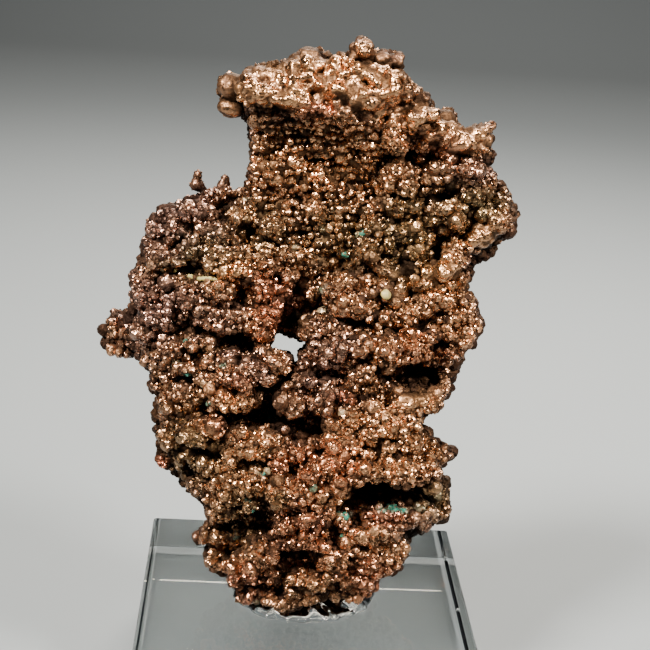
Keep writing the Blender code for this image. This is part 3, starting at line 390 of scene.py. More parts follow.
# Lobes that stand out of the front: x, z, half width, half height, tilt up to the right.
LOBES = [
    (-21.2, 39.2, 1.6, 1.1, 0), (-18.4, 38.8, 1.4, 0.9, 0), (-16.2, 38.7, 1.2, 0.8, 0),
    (-14.0, 38.3, 1.6, 0.8, -5), (-12.0, 38.3, 1.1, 0.8, 0), (-10.9, 40.9, 1.4, 1.1, 0),
    (-8.6, 40.9, 1.3, 1.1, 0), (-7.3, 37.4, 1.3, 0.9, 0), (-7.2, 35.4, 1.3, 1.0, 0),
    (-11.8, 35.4, 1.7, 0.8, -6), (-16.2, 35.0, 2.5, 0.9, -4), (-19.5, 34.9, 1.4, 0.9, 0),
    (-7.0, 33.2, 1.2, 1.0, 0), (-24.2, 34.2, 1.2, 0.9, 0), (-24.9, 32.8, 0.7, 0.7, 0),
    (-24.5, 31.3, 1.1, 0.6, 0), (-22.6, 33.2, 1.0, 1.1, 0), (-20.8, 31.6, 1.2, 1.2, 0),
    (-14.2, 32.3, 1.3, 0.8, 0), (-18.6, 44.6, 1.5, 0.8, 0), (-13.2, 45.2, 1.4, 0.9, 0),
    (-16.6, 48.3, 1.3, 0.9, 0), (-13.9, 47.4, 1.0, 0.8, 0), (-19.9, 46.2, 0.9, 0.9, 0),
    (-12.6, 42.4, 1.2, 0.8, 0), (-6.4, 46.4, 0.9, 0.7, 0), (-4.6, 43.0, 1.0, 0.9, 35),
    (-7.4, 43.0, 0.9, 0.8, 0), (-1.0, 43.4, 0.9, 0.6, 0), (-2.4, 41.4, 1.2, 0.6, 0),
    (2.0, 39.4, 1.6, 0.9, 0), (4.6, 39.6, 1.6, 0.9, 4), (15.8, 39.4, 1.2, 1.6, 0),
    (12.0, 38.6, 2.0, 0.8, 5), (15.0, 37.4, 2.2, 1.1, 8), (17.1, 35.6, 1.3, 1.5, 0),
    (8.1, 36.6, 1.9, 0.8, 5), (3.8, 37.2, 1.3, 0.8, 0), (3.0, 34.7, 2.0, 1.0, 6),
    (6.4, 34.8, 0.6, 0.6, 0), (10.4, 34.2, 2.1, 1.4, 8), (11.0, 32.9, 1.6, 0.9, 0),
    (14.4, 33.1, 1.7, 1.1, 0), (7.2, 32.3, 1.6, 0.7, 8), (3.2, 31.8, 1.7, 0.8, 6),
    (-0.2, 33.6, 1.2, 0.8, 15), (0.7, 31.2, 1.2, 0.8, 0), (8.6, 30.2, 1.4, 0.7, 0),
    (5.0, 29.2, 1.7, 0.75, 32), (2.7, 30.3, 1.2, 0.7, 25), (-0.3, 28.0, 1.4, 1.2, 0),
    (2.8, 27.5, 1.6, 0.6, 6), (4.9, 27.3, 1.1, 0.6, 0), (7.0, 27.4, 0.9, 0.6, 0),
    (9.2, 24.9, 1.5, 0.9, 30), (6.7, 25.6, 1.2, 0.6, 20), (-2.8, 25.4, 1.4, 1.3, 0),
    (0.4, 25.3, 1.4, 0.8, 0), (14.5, 28.6, 1.2, 0.8, 0), (13.2, 25.9, 1.2, 1.0, 0),
    (5.2, 24.0, 1.8, 0.8, 0), (2.8, 22.8, 1.3, 1.0, 0), (10.2, 23.3, 2.2, 0.9, 22),
    (7.0, 21.8, 1.8, 0.8, 0), (4.4, 21.5, 1.1, 0.7, 0), (-1.4, 22.9, 1.3, 1.7, 0),
    (12.6, 21.2, 1.3, 1.3, 0), (14.5, 19.8, 2.0, 1.0, -18), (7.6, 19.9, 1.6, 1.1, 0),
    (10.0, 20.4, 1.3, 0.7, 0), (2.2, 19.3, 1.3, 0.8, 10), (-0.8, 18.5, 1.3, 0.8, 28),
    (13.4, 17.6, 1.9, 0.8, 4), (10.4, 17.7, 1.8, 0.8, 0), (7.2, 17.9, 1.9, 0.8, 0),
    (4.8, 17.6, 1.2, 0.7, 0), (1.6, 16.9, 2.3, 1.1, 25), (-1.4, 15.4, 1.6, 0.9, 20),
    (1.0, 14.4, 2.1, 1.0, 0), (-0.6, 12.6, 2.0, 0.8, 0), (14.8, 14.7, 1.3, 1.1, 0),
    (15.6, 12.3, 1.1, 0.9, 0), (14.3, 11.1, 1.2, 0.8, 0), (14.0, 9.8, 0.9, 0.6, 0),
    (6.4, 11.2, 1.7, 0.8, 0), (9.4, 10.7, 1.8, 0.8, 0), (5.2, 10.2, 1.2, 0.4, 0),
    (10.4, 8.3, 0.9, 0.8, 0), (6.8, 8.5, 1.6, 0.6, 0), (9.0, 8.8, 1.3, 0.5, -8),
    (4.0, 7.3, 1.4, 0.5, 12), (6.9, 5.2, 2.1, 1.1, 6), (10.6, 5.8, 1.5, 1.8, 0),
    (3.2, 5.0, 1.1, 0.9, 0), (4.6, 2.6, 1.9, 0.65, 0), (7.6, 2.3, 1.3, 0.8, 0),
    (4.2, 0.5, 1.7, 0.5, 0), (6.9, 0.5, 1.3, 0.6, 0), (-1.2, 1.7, 1.0, 0.45, 12),
    (-0.4, 3.0, 0.9, 0.5, 0), (-1.6, 5.0, 0.8, 0.6, 0), (-18.0, 28.5, 1.7, 0.9, 0),
    (-12.8, 29.5, 1.3, 0.8, 0), (-10.2, 30.0, 1.7, 1.0, 0), (-7.4, 30.1, 1.6, 1.1, 0),
    (-5.0, 30.0, 1.2, 0.9, 0), (-10.2, 27.8, 1.9, 1.1, -4), (-10.0, 25.2, 2.0, 1.0, 0),
    (-17.3, 24.7, 1.3, 0.9, 0), (-14.6, 25.0, 1.2, 0.8, 0), (-14.4, 20.7, 1.3, 0.9, 0),
    (-7.4, 20.0, 2.5, 0.9, -3), (-3.2, 21.4, 0.9, 1.3, 0), (-8.0, 17.5, 2.3, 0.9, 0),
    (-11.6, 17.1, 1.4, 0.8, 0), (-6.4, 15.0, 1.8, 0.7, 3), (-12.4, 14.7, 1.3, 0.6, 0),
    (-9.6, 14.9, 1.5, 0.6, 0), (-11.5, 12.9, 1.0, 1.0, 0), (-9.3, 13.2, 1.1, 0.9, 0),
    (-6.8, 13.3, 1.4, 0.8, 0), (-3.9, 12.8, 1.3, 1.0, 0), (-11.4, 10.6, 1.3, 1.1, 0),
    (-8.0, 10.3, 0.8, 0.7, 0), (-9.8, 9.0, 1.6, 0.4, 3), (-6.7, 9.3, 1.1, 0.8, 30),
    (-9.8, 7.4, 1.7, 0.6, 0), (-4.6, 9.7, 0.7, 1.0, 0), (-2.0, 10.3, 1.5, 1.0, 0),
    (-1.0, 8.3, 2.3, 0.9, 0), (-3.4, 7.2, 1.2, 0.6, 25), (-5.7, 6.2, 0.9, 0.9, 0),
    (-10.4, 3.9, 1.9, 1.3, 0), (-5.6, 3.4, 1.3, 1.8, 0), (-7.8, 2.7, 1.3, 0.9, 0),
    (-7.2, -0.8, 0.9, 0.8, 0), (-2.8, -1.4, 1.2, 0.7, 0), (0.1, -0.9, 1.2, 0.6, 10),
    (-5.6, 1.7, 1.7, 0.35, 0), (9.4, 55.0, 1.1, 0.8, 0), (12.2, 54.4, 1.4, 1.0, 0),
    (14.4, 54.6, 1.0, 1.0, 0), (16.9, 53.4, 1.2, 0.8, 0), (18.8, 51.8, 1.1, 1.1, 0),
    (12.6, 51.0, 1.6, 1.0, 0), (10.8, 49.4, 1.6, 1.1, 0), (13.8, 49.2, 1.5, 0.9, 0),
    (17.0, 50.6, 1.6, 0.8, 0), (19.6, 49.2, 1.2, 1.4, 0), (8.0, 46.4, 1.5, 0.9, 30),
    (9.6, 44.4, 1.3, 1.3, 0), (5.4, 46.8, 1.1, 0.8, 0), (12.4, 46.4, 1.1, 0.6, 0),
    (7.6, 52.6, 1.6, 0.7, 0), (10.2, 52.6, 1.2, 0.6, 0), (9.0, 57.4, 0.8, 0.8, 0),
]

# Gaps between the lobes, deep and with painted shade in them: x, z, half width, half height, tilt, how
# deep in mm.
GAPS = [
    (-18.8, 46.0, 0.8, 0.45, 0, 2.2), (-15.5, 45.2, 0.8, 0.6, 0, 2.0),
    (-12.0, 48.5, 1.1, 0.5, 0, 2.5), (-9.7, 46.6, 0.8, 0.5, 0, 2.2),
    (-17.4, 43.5, 1.5, 0.25, 0, 1.8), (-12.9, 43.7, 0.8, 0.3, 0, 1.8),
    (-9.5, 42.6, 0.5, 0.5, 0, 2.1), (-18.8, 40.2, 1.3, 0.35, -10, 2.5),
    (-14.2, 39.5, 1.7, 0.3, 3, 2.5), (-14.6, 40.7, 0.7, 0.4, 0, 2.0),
    (-9.5, 38.8, 0.8, 0.7, 0, 2.8), (-10.8, 36.8, 1.2, 0.8, -30, 3.1),
    (-13.3, 36.6, 1.0, 0.4, 0, 2.2), (-19.4, 36.6, 1.2, 0.35, 0, 2.0),
    (-15.2, 33.6, 2.2, 0.55, 0, 2.8), (-17.6, 32.7, 0.8, 0.3, 0, 2.0),
    (-10.4, 33.0, 2.2, 0.95, 0, 4.5), (-13.2, 31.1, 0.8, 0.35, 0, 2.2),
    (-22.1, 31.4, 0.7, 0.4, 0, 1.7), (-3.1, 39.6, 0.8, 1.2, 0, 3.4),
    (-4.4, 37.9, 0.9, 0.5, -30, 3.4), (-3.7, 35.3, 1.9, 0.9, -5, 4.2),
    (-1.4, 41.0, 0.9, 0.35, 0, 2.1), (3.0, 41.2, 2.6, 0.35, 0, 2.2),
    (4.4, 43.3, 1.3, 0.35, 0, 1.8), (1.9, 44.5, 0.4, 0.5, 0, 1.7), (6.9, 38.0, 0.9, 0.4, 0, 2.5),
    (10.1, 39.3, 0.5, 0.9, 30, 2.5), (5.2, 35.0, 0.5, 0.5, 0, 2.2),
    (7.4, 34.7, 0.7, 0.6, 30, 2.5), (13.6, 35.3, 1.0, 0.35, 20, 2.0),
    (-0.4, 32.4, 0.9, 0.3, 40, 2.0), (6.8, 30.1, 0.7, 0.6, 0, 2.8), (7.6, 28.9, 1.5, 0.5, 0, 3.4),
    (11.9, 28.3, 2.7, 2.0, 30, 6.0), (1.8, 28.8, 0.7, 0.35, 0, 2.2), (4.3, 26.4, 1.6, 0.3, 3, 2.5),
    (-4.9, 26.0, 0.9, 1.7, -12, 4.5), (-3.4, 28.3, 0.6, 1.0, 0, 3.4), (0.6, 21.9, 0.8, 1.6, -4, 3.9),
    (10.3, 24.5, 1.9, 0.22, 24, 2.0), (5.8, 19.8, 0.8, 0.45, 25, 2.5), (9.7, 19.0, 1.1, 0.5, 0, 2.5),
    (4.0, 18.5, 0.9, 0.3, 0, 2.2), (9.6, 14.6, 5.6, 0.9, -1, 4.8), (7.0, 13.0, 3.0, 0.6, 0, 3.6),
    (3.4, 12.0, 0.6, 1.6, -25, 3.6), (12.2, 13.2, 2.2, 0.6, 8, 3.4), (6.3, 9.7, 1.5, 0.3, -12, 2.8),
    (3.2, 9.0, 0.9, 0.5, 0, 2.8), (7.0, 6.8, 2.4, 0.3, 8, 3.1), (0.0, 5.6, 2.2, 0.7, 0, 3.4),
    (4.9, 3.6, 2.0, 0.25, 2, 2.8), (1.6, 3.1, 1.1, 0.6, 0, 3.4), (9.0, 4.2, 0.25, 0.9, 0, 2.0),
    (-0.4, 1.0, 1.3, 0.22, 8, 2.2), (4.6, 1.6, 2.4, 0.2, 0, 1.8), (-15.3, 27.5, 1.7, 0.7, -8, 3.1),
    (-10.8, 26.4, 1.9, 0.3, -4, 2.5), (-18.8, 27.0, 1.2, 0.3, 0, 1.7), (-7.2, 26.6, 1.2, 0.6, -20, 2.8),
    (-10.2, 21.9, 1.4, 0.4, 5, 2.2), (-11.6, 18.9, 1.6, 0.7, 0, 2.7), (-4.0, 20.3, 0.4, 0.9, 0, 2.8),
    (-1.2, 20.2, 0.8, 0.9, -20, 3.4), (-4.4, 14.7, 1.0, 0.35, 30, 2.8), (-2.7, 17.0, 0.9, 0.5, 30, 2.8),
    (-12.0, 9.7, 1.2, 0.25, 0, 1.7), (-9.9, 8.3, 2.2, 0.22, 5, 2.2), (-9.0, 11.5, 1.4, 0.3, 0, 2.0),
    (-5.7, 9.2, 0.45, 1.6, -30, 3.6), (-6.9, 6.8, 0.6, 1.4, -30, 3.9), (-2.9, 5.4, 0.9, 0.8, 0, 3.4),
    (-2.7, 2.6, 0.6, 1.6, 0, 3.4), (-6.2, 0.7, 2.1, 0.35, -3, 2.5), (-5.5, -0.5, 0.7, 0.7, 0, 2.2),
    (-7.8, 16.2, 1.2, 0.25, -30, 2.0), (-8.0, 22.6, 1.4, 0.3, 0, 2.0), (-2.4, 11.6, 1.2, 0.2, 0, 1.7),
    (12.3, 44.7, 1.9, 0.6, 3, 3.4), (13.6, 46.6, 1.0, 0.3, 20, 2.5), (16.8, 48.2, 1.4, 0.35, 25, 2.2),
    (6.8, 55.3, 1.6, 0.5, 0, 2.8), (11.0, 57.0, 0.8, 0.4, 0, 2.2), (14.0, 56.0, 1.7, 0.3, -8, 2.0),
    (2.0, 60.5, 0.7, 1.0, -20, 2.2), (-7.2, 59.7, 1.9, 0.28, 0, 1.8), (-2.4, 59.6, 1.3, 0.25, 0, 1.8),
    (-4.4, 48.6, 0.3, 1.0, 0, 1.7), (0.9, 47.6, 1.7, 0.25, 5, 1.4), (4.6, 50.3, 1.6, 0.25, 0, 1.4),
    (-6.6, 51.8, 0.9, 0.3, 0, 1.5), (4.7, 53.2, 0.25, 0.9, 0, 1.7), (-3.6, 51.4, 0.3, 0.9, 0, 1.7),
    (1.5, 52.0, 0.25, 0.8, 0, 1.5), (15.0, 52.2, 1.2, 0.3, 10, 2.0), (11.6, 52.3, 1.1, 0.25, 0, 1.7),
    (7.2, 50.6, 1.8, 0.25, 0, 1.7), (6.6, 43.6, 0.9, 0.3, 0, 2.0),
]


def sway(x, z):
    """How far the sheet's middle lies forwards: a sine up the height less a square across."""
    return SWAY_UP * np.sin(math.tau * z / SWAY_WAVE) - WING_BACK * (x / WING_WIDTH) ** 2


def placed(x, z, depth):
    """Points in millimetres above the block: x and z are drawn towards the far point LEAN by
    the share of the way that the point lies in front of the plane y = 0."""
    lie = sway(x, z)
    pull = (lie + np.maximum(depth, 0.0)) / -LEAN[1]
    return np.stack([x + (LEAN[0] - x) * pull, -(lie + depth), z + (LEAN[2] - z) * pull], axis=-1)


def seen(points):
    """The x and z at which a line from LEAN through each point (mm) meets the plane y = 0."""
    run = LEAN[1] / (LEAN[1] - points[:, 1])
    return LEAN[[0, 2]] + (points[:, [0, 2]] - LEAN[[0, 2]]) * run[:, None]


def signed_gap(points, loop):
    """Distance of each (x, z) to a closed line, positive outside it, and its nearest point.
    Inside is where a ray to the right crosses the line an odd number of times."""
    start = np.array(loop)
    end = np.roll(start, -1, axis=0)
    best = np.full(len(points), np.inf)
    near = np.zeros_like(points)
    inside = np.zeros(len(points), bool)
    for a, b in zip(start, end):
        d = b - a
        share = np.clip(((points - a) @ d) / (d @ d), 0.0, 1.0)
        foot = a + share[:, None] * d
        gap = np.hypot(*(points - foot).T)
        closer = gap < best
        best[closer] = gap[closer]
        near[closer] = foot[closer]
        spans = (a[1] > points[:, 1]) != (b[1] > points[:, 1])
        cross = a[0] + (points[:, 1] - a[1]) * d[0] / (d[1] if d[1] else 1e-9)
        inside ^= spans & (points[:, 0] < cross)
    return np.where(inside, -best, best), near


def inside_by(sight):
    """How far each (x, z) lies inside the outline and clear of the hole, the less of both."""
    return np.minimum(-signed_gap(sight, OUTLINE)[0], signed_gap(sight, HOLE)[0])


def oval(at, x, z, half_x, half_z, tilt):
    """Squared distance of each (x, z) from an oval's middle, in units of its half sizes, with
    the oval turned up to the right by the tilt in degrees."""
    angle = math.radians(tilt)
    dx = at[:, 0] - x
    dz = at[:, 1] - z
    run = dx * math.cos(angle) + dz * math.sin(angle)
    rise = dz * math.cos(angle) - dx * math.sin(angle)
    return (run / half_x) ** 2 + (rise / half_z) ** 2


def in_gaps(at, full, fall, by_depth=False):
    """The most of any gap at each (x, z): full less fall times the gap's squared distance, cut
    to 0 and 1, and times the gap's depth if asked."""
    most = np.zeros(len(at))
    for *shape, deep in GAPS:
        share = np.clip(full - fall * oval(at, *shape), 0.0, 1.0)
        most = np.maximum(most, share * (deep if by_depth else 1.0))
    return most


def geodesic(splits):
    """Points and triangles of a unit ball: an icosahedron whose triangles are cut in four at
    the middles of their sides, as often as asked, and pushed out to the ball."""
    golden = (1.0 + 5.0 ** 0.5) / 2.0
    points = np.array([(-1, golden, 0), (1, golden, 0), (-1, -golden, 0), (1, -golden, 0),
                       (0, -1, golden), (0, 1, golden), (0, -1, -golden), (0, 1, -golden),
                       (golden, 0, -1), (golden, 0, 1), (-golden, 0, -1), (-golden, 0, 1)])
    faces = np.array([(0, 11, 5), (0, 5, 1), (0, 1, 7), (0, 7, 10), (0, 10, 11), (1, 5, 9),
                      (5, 11, 4), (11, 10, 2), (10, 7, 6), (7, 1, 8), (3, 9, 4), (3, 4, 2),
                      (3, 2, 6), (3, 6, 8), (3, 8, 9), (4, 9, 5), (2, 4, 11), (6, 2, 10),
                      (8, 6, 7), (9, 8, 1)])
    for _ in range(splits):
        a, b, c = points[faces].transpose(1, 0, 2)
        ab, bc, ca = (a + b) / 2, (b + c) / 2, (c + a) / 2
        points, faces = merged(np.stack([a, ab, ca, b, bc, ab, c, ca, bc, ab, bc, ca], axis=1)
                               .reshape(-1, 3), 6)
    return points / np.linalg.norm(points, axis=1, keepdims=True), faces


def merged(corners, digits):
    """Points and triangles of corners given three by three, once those that are equal to so
    many digits are made one."""
    _, first, back = np.unique(corners.round(digits), axis=0, return_index=True,
                               return_inverse=True)
    return corners[first], back.reshape(-1, 3)


def repeated(forms, faces):
    """Points and triangles of many forms (n, points, 3) that all have the same faces."""
    shift = np.arange(len(forms))[:, None, None] * forms.shape[1]
    return forms.reshape(-1, 3), (faces[None] + shift).reshape(-1, 3)


def balls(centres, radii, tilts=0.0, splits=2):
    """Ellipsoids as arrays: the unit ball times three radii, turned up to the right by the
    tilt in degrees, moved to each centre. Everything is in millimetres."""
    shape, faces = geodesic(splits)
    form = shape[None] * radii[:, None, :]
    angle = np.radians(np.broadcast_to(tilts, len(centres)))[:, None]
    x = form[..., 0] * np.cos(angle) - form[..., 2] * np.sin(angle)
    z = form[..., 0] * np.sin(angle) + form[..., 2] * np.cos(angle)
    return repeated(np.stack([x, form[..., 1], z], axis=-1) + centres[:, None], faces)


def along(points, step):
    """Points at equal steps along a line of straight runs."""
    points = np.array(points, float)
    length = np.concatenate([[0.0], np.cumsum(np.hypot(*np.diff(points, axis=0).T))])
    at = np.linspace(0.0, length[-1], max(2, round(length[-1] / step) + 1))
    return np.stack([np.interp(at, length, points[:, i]) for i in (0, 1)], axis=-1)


def scatter(points, faces, count, dice):
    """Random points evenly over the triangles, the unit normals there and the number of one
    corner: each is drawn by area, and its place is a root-weighted mix of the corners."""
    a, b, c = points[faces].transpose(1, 0, 2)
    flat = np.cross(b - a, c - a)
    area = np.linalg.norm(flat, axis=1)
    pick = np.searchsorted(np.cumsum(area) / area.sum(), dice.uniform(size=count))
    pick = np.minimum(pick, len(faces) - 1)
    first = np.sqrt(dice.uniform(size=(count, 1)))
    second = dice.uniform(size=(count, 1))
    at = a[pick] * (1 - first) + b[pick] * first * (1 - second) + c[pick] * first * second
    return at, flat[pick] / np.maximum(area[pick], 1e-9)[:, None], faces[pick, 0]


def box_mean(field, reach):
    """A grid's running mean over a square, twice, by differences of its running sum."""
    for axis in (0, 1, 0, 1):
        pad = [(0, 0), (0, 0)]
        pad[axis] = (reach + 1, reach)
        total = np.moveaxis(np.cumsum(np.pad(field, pad, mode="edge"), axis=axis), axis, 0)
        mean = (total[2 * reach + 1:] - total[:-2 * reach - 1]) / (2 * reach + 1)
        field = np.moveaxis(mean, 0, axis)
    return field


def height_map(at, height, cell, reach):
    """A function that gives the surface's mean height near any (x, z). The points are sorted
    into square cells, each cell keeps its highest point, and the cells are averaged over a
    square of the reach, empty cells left out."""
    low = at.min(axis=0) - 2.0
    size = np.ceil((at.max(axis=0) + 2.0 - low) / cell).astype(int) + 1
    mean = np.full(size, -99.0)
    np.maximum.at(mean, tuple(((at - low) / cell).astype(int).T), height)
    steps = round(reach / cell)
    if steps:
        known = (mean > -90.0).astype(float)
        total = box_mean(np.where(known > 0, mean, 0.0), steps)
        mean = total / np.maximum(box_mean(known, steps), 0.04)

    def height_at(where):
        """The mean of the cell that each (x, z) lies in."""
        index = np.clip(((where - low) / cell).astype(int), 0, size - 1)
        return mean[index[:, 0], index[:, 1]]

    return height_at


def ledge_nodules(dice):
    """Centres and radii of every ledge's nodules: one row of full ones, and two rows of small
    ones on its lip."""
    centres, sizes = [], []
    for depth, radius, points in LEDGES:
        for share, step, out in LEDGE_ROWS:
            at = along(points, step * radius)
            at = at[dice.uniform(size=len(at)) > LEDGE_LEFT_OUT]
            size = radius * share * dice.uniform(*LEDGE_SIZES, len(at))
            at = at + dice.uniform(-LEDGE_SHIFT, LEDGE_SHIFT, at.shape)
            rise = dice.uniform(-LEDGE_RISE, LEDGE_RISE, len(at)) * radius * (1.4 - share)
            front = depth + out + dice.uniform(*LEDGE_DEPTHS, len(at)) - size
            centres.append(placed(at[:, 0], at[:, 1] + rise, front))
            sizes.append(size[:, None] * LEDGE_SHAPE)
    return np.concatenate(centres), np.concatenate(sizes)


def rim_nodules(dice, step, low, high):
    """Centres and radii of a knobbly rim just inside the outline, its balls between the low
    and the high radius."""
    at = along(OUTLINE + OUTLINE[:1], step)
    reach = round(RIM_BEND / step)
    middle = np.array([at[np.arange(i - reach, i + reach + 1) % len(at)].mean(axis=0)
                       for i in range(len(at))])
    inward = middle - at
    inward /= np.maximum(np.hypot(*inward.T), 0.2)[:, None]
    size = dice.uniform(low, high, len(at))
    gap, _ = signed_gap(at + inward * size[:, None], OUTLINE)
    side = np.where(gap < 0.0, 1.0, -1.0)[:, None]
    at = at + side * inward * size[:, None] * RIM_SUNK
    depth = dice.uniform(*RIM_DEPTHS, len(at))
    return placed(at[:, 0], at[:, 1], depth), size[:, None] * RIM_SHAPE


def lobe_balls(front):
    """Centres, radii and tilts of the lobes, each so proud of the front."""
    x, z, half_x, half_z, tilt = np.array(LOBES).T
    thick = LOBE_THICK * np.sqrt(half_x * half_z)
    depth = front(np.stack([x, z], axis=-1)) - sway(x, z) + LOBE_PROUD - thick
    return placed(x, z, depth), np.stack([half_x, thick, half_z], axis=-1), tilt


def read_mesh(mesh, block, field, width, kind=np.float64):
    """One field of all the mesh's vertices, loops or triangles, as rows of so many numbers."""
    values = np.zeros(len(getattr(mesh, block)) * width, kind)
    getattr(mesh, block).foreach_get(field, values)
    return values.reshape(-1, width)


def welded(mesh):
    """Points (mm above the block) and triangles of a CAD node, with its doubles merged."""
    mesh.calc_loop_triangles()
    points = read_mesh(mesh, "vertices", "co", 3) / MM - (0.0, 0.0, BLOCK_TOP / MM)
    faces = read_mesh(mesh, "loop_triangles", "vertices", 3, np.int32)
    _, first, back = np.unique(points.round(4), axis=0, return_index=True, return_inverse=True)
    return points[first], back.reshape(-1)[faces]


def fused(parts, voxel):
    """Points and quads of one closed skin round all the parts, by a voxel remesh."""
    starts = np.cumsum([0] + [len(points) for points, _ in parts[:-1]])
    points = np.concatenate([points for points, _ in parts]) * MM
    faces = np.concatenate([faces + start for (_, faces), start in zip(parts, starts)])
    rough = mesh_piece("rough", points, faces, copper)
    remesh = rough.modifiers.new("Fuse", "REMESH")
    remesh.mode = "VOXEL"
    remesh.voxel_size = voxel * MM
    mesh = rough.evaluated_get(bpy.context.evaluated_depsgraph_get()).to_mesh()
    skin = read_mesh(mesh, "vertices", "co", 3) / MM
    quads = read_mesh(mesh, "loops", "vertex_index", 1, np.int32).reshape(-1, 4)
    bpy.data.objects.remove(rough)
    return skin, quads


def summed(quads, values, count):
    """For each of so many points, the sum of the values of the quads that meet there."""
    total = np.zeros((count, 3))
    for corner in quads.T:
        np.add.at(total, corner, values)
    return total


def point_normals(points, quads):
    """Unit normals at the points: the summed cross products of each quad's diagonals."""
    a, b, c, d = points[quads].transpose(1, 0, 2)
    total = summed(quads, np.cross(c - a, d - b), len(points))
    return total / np.maximum(np.linalg.norm(total, axis=1, keepdims=True), 1e-9)


def smoothed(points, quads):
    """The points, each moved halfway to the mean of the middles of its quads."""
    count = np.bincount(quads.ravel(), minlength=len(points))[:, None]
    total = summed(quads, points[quads].mean(axis=1), len(points))
    return 0.5 * points + 0.5 * total / np.maximum(count, 1)


def domes(points, size):
    """Height of a close pack of domes, 0 to 1: every cube of this size holds one random
    centre, and the height over the nearest centre is that of a ball 0.7 of the size."""
    cell = np.floor(points / size).astype(np.int64)
    best = np.full(len(points), np.inf)
    for step in np.ndindex(3, 3, 3):
        near = cell + step - 1
        code = np.bitwise_xor.reduce(near * (73856093, 19349663, 83492791), axis=1)
        shift = np.stack([(code * k % 1009) / 1009.0 for k in (7, 31, 127)], axis=-1)
        best = np.minimum(best, (((near + shift) * size - points) ** 2).sum(axis=1))
    return np.sqrt(np.clip(1.0 - best / (0.7 * size) ** 2, 0.0, 1.0))


def between(height):
    """How far each point lies in a crevice between domes: none where their height is over
    one limit, wholly where it is under the other, and evenly in between."""
    return np.clip((CREVICE_FROM - height) / (CREVICE_FROM - CREVICE_FULL), 0.0, 1.0)


def drawn_in(points):
    """The points with those past the outline, less an inset, drawn in to it along x and z, and
    those inside the hole, or within an inset of it, drawn out to its edge."""
    sight = seen(points)
    points = points.copy()
    for loop, side, inset in ((OUTLINE, 1.0, RIM_INSET), (HOLE, -1.0, HOLE_INSET)):
        over, edge = signed_gap(sight, loop)
        over = side * over
        past = np.flatnonzero(over > -inset)
        way = (edge[past] - sight[past]) / np.maximum(np.abs(over[past]), 1e-6)[:, None]
        pull = np.sign(over[past]) * (over[past] + inset)
        points[np.ix_(past, [0, 2])] += way * pull[:, None]
    return points


# Native copper: metal with a brown cuprite film, rubbed bright and golden on what stands out, mauve on
# one flank, nearly black in the hollows, partly from a dark oxide and partly from painted shade, with a
# little green and blue-green malachite and chrysocolla in the pits. Its skin is a crust of tiny
# crystals, 0.1 to 0.3 mm across, whose flat faces are turned every way and glint one by one. All are
# drawn 0.3 mm across, because finer ones don't show. The attributes say where each film and the painted
# shade lie.
COPPER_BROWN = "876553"
COPPER_GOLD = "DDA779"
COPPER_MAUVE = "866A66"
COPPER_RED = "A65E4B"
VERDIGRIS = "0D5F51"
OLIVE_FILM = "726A48"
# The near-black of the hollows: a dark oxide deepened into painted shade.
HOLLOW_SHADE_BLACK = "130C0A"
CRYSTAL, PATCH, SPECK = 0.3, 2.2, 0.55  # mm across

copper, tree, shader, place = new_material("native copper with its cuprite film")
film, stain, shade = [
    add_node(tree, "ShaderNodeSeparateColor", {"Color": add_node(
        tree, "ShaderNodeAttribute", attribute_name=name).outputs["Color"]}).outputs
    for name in ("film", "stain", "shade")]
crystals = add_node(tree, "ShaderNodeTexVoronoi", {
    "Vector": place, "Scale": pattern_scale(CRYSTAL), "Randomness": 1.0}).outputs
crystal = add_node(tree, "ShaderNodeSeparateColor", {"Color": crystals["Color"]}).outputs
patches, specks = [
    add_node(tree, "ShaderNodeTexNoise", {
        "Vector": place, "Scale": pattern_scale(size), "Detail": detail, "Roughness": rough})
    .outputs["Fac"] for size, detail, rough in ((PATCH, 3.0, 0.6), (SPECK, 2.0, 0.5))]

# Numbers worked out at each place: first ranges, from low and high to two other values.
value = {}
for name, source, *limits in (
        ("patchy gold", patches, 0.3, 0.7, -0.3, 0.3),
        ("crystal tone", crystal["Red"], 0.0, 1.0, 0.7, 1.25),
        ("crystal roughness", crystal["Green"], 0.0, 1.0, -0.1, 0.12),
        ("verdigris zone", stain["Red"], 0.15, 0.6, 0.0, 1.0),
        ("verdigris speck", specks, 0.37, 0.44, 0.0, 1.0),
        ("crystal turn", shade["Blue"], 0.0, 1.0, 0.7, 0.2)):
    limits = dict(zip(("From Min", "From Max", "To Min", "To Max"), limits))
    value[name] = add_node(tree, "ShaderNodeMapRange", {"Value": source, **limits}).outputs[0]
for name, operation, *terms in (
        ("gold", "ADD", film["Red"], "patchy gold"),
        ("tone", "MULTIPLY", "crystal tone", shade["Green"]),
        ("green", "MULTIPLY", "verdigris zone", "verdigris speck"),
        ("metal", "SUBTRACT", 1.0, "green"),
        ("film roughness", "MULTIPLY_ADD", film["Red"], -0.06, 0.3),
        ("skin roughness", "ADD", "film roughness", "crystal roughness"),
        ("dull", "MAXIMUM", "green", shade["Red"]),
        ("roughness", "MULTIPLY_ADD", "dull", 0.45, "skin roughness")):
    terms = {i: value[term] if isinstance(term, str) else term for i, term in enumerate(terms)}
    value[name] = add_node(tree, "ShaderNodeMath", terms, operation=operation).outputs[0]

# The films lie on one another in this order, each by its own share; the last is the painted shade of
# the hollows, over their dark oxide.
grey = add_node(tree, "ShaderNodeCombineColor", dict.fromkeys(
    ("Red", "Green", "Blue"), value["tone"])).outputs["Color"]
colour = linear(COPPER_BROWN)
for share, over, blend in (
        (value["gold"], linear(COPPER_GOLD), "MIX"), (film["Green"], linear(COPPER_MAUVE), "MIX"),
        (film["Blue"], linear(COPPER_RED), "MIX"), (1.0, grey, "MULTIPLY"),
        (stain["Green"], linear(OLIVE_FILM), "MIX"), (value["green"], linear(VERDIGRIS), "MIX"),
        (shade["Red"], linear(HOLLOW_SHADE_BLACK), "MIX")):
    colour = add_node(tree, "ShaderNodeMix", {0: share, 6: colour, 7: over}, data_type="RGBA",
                      blend_type=blend).outputs[2]

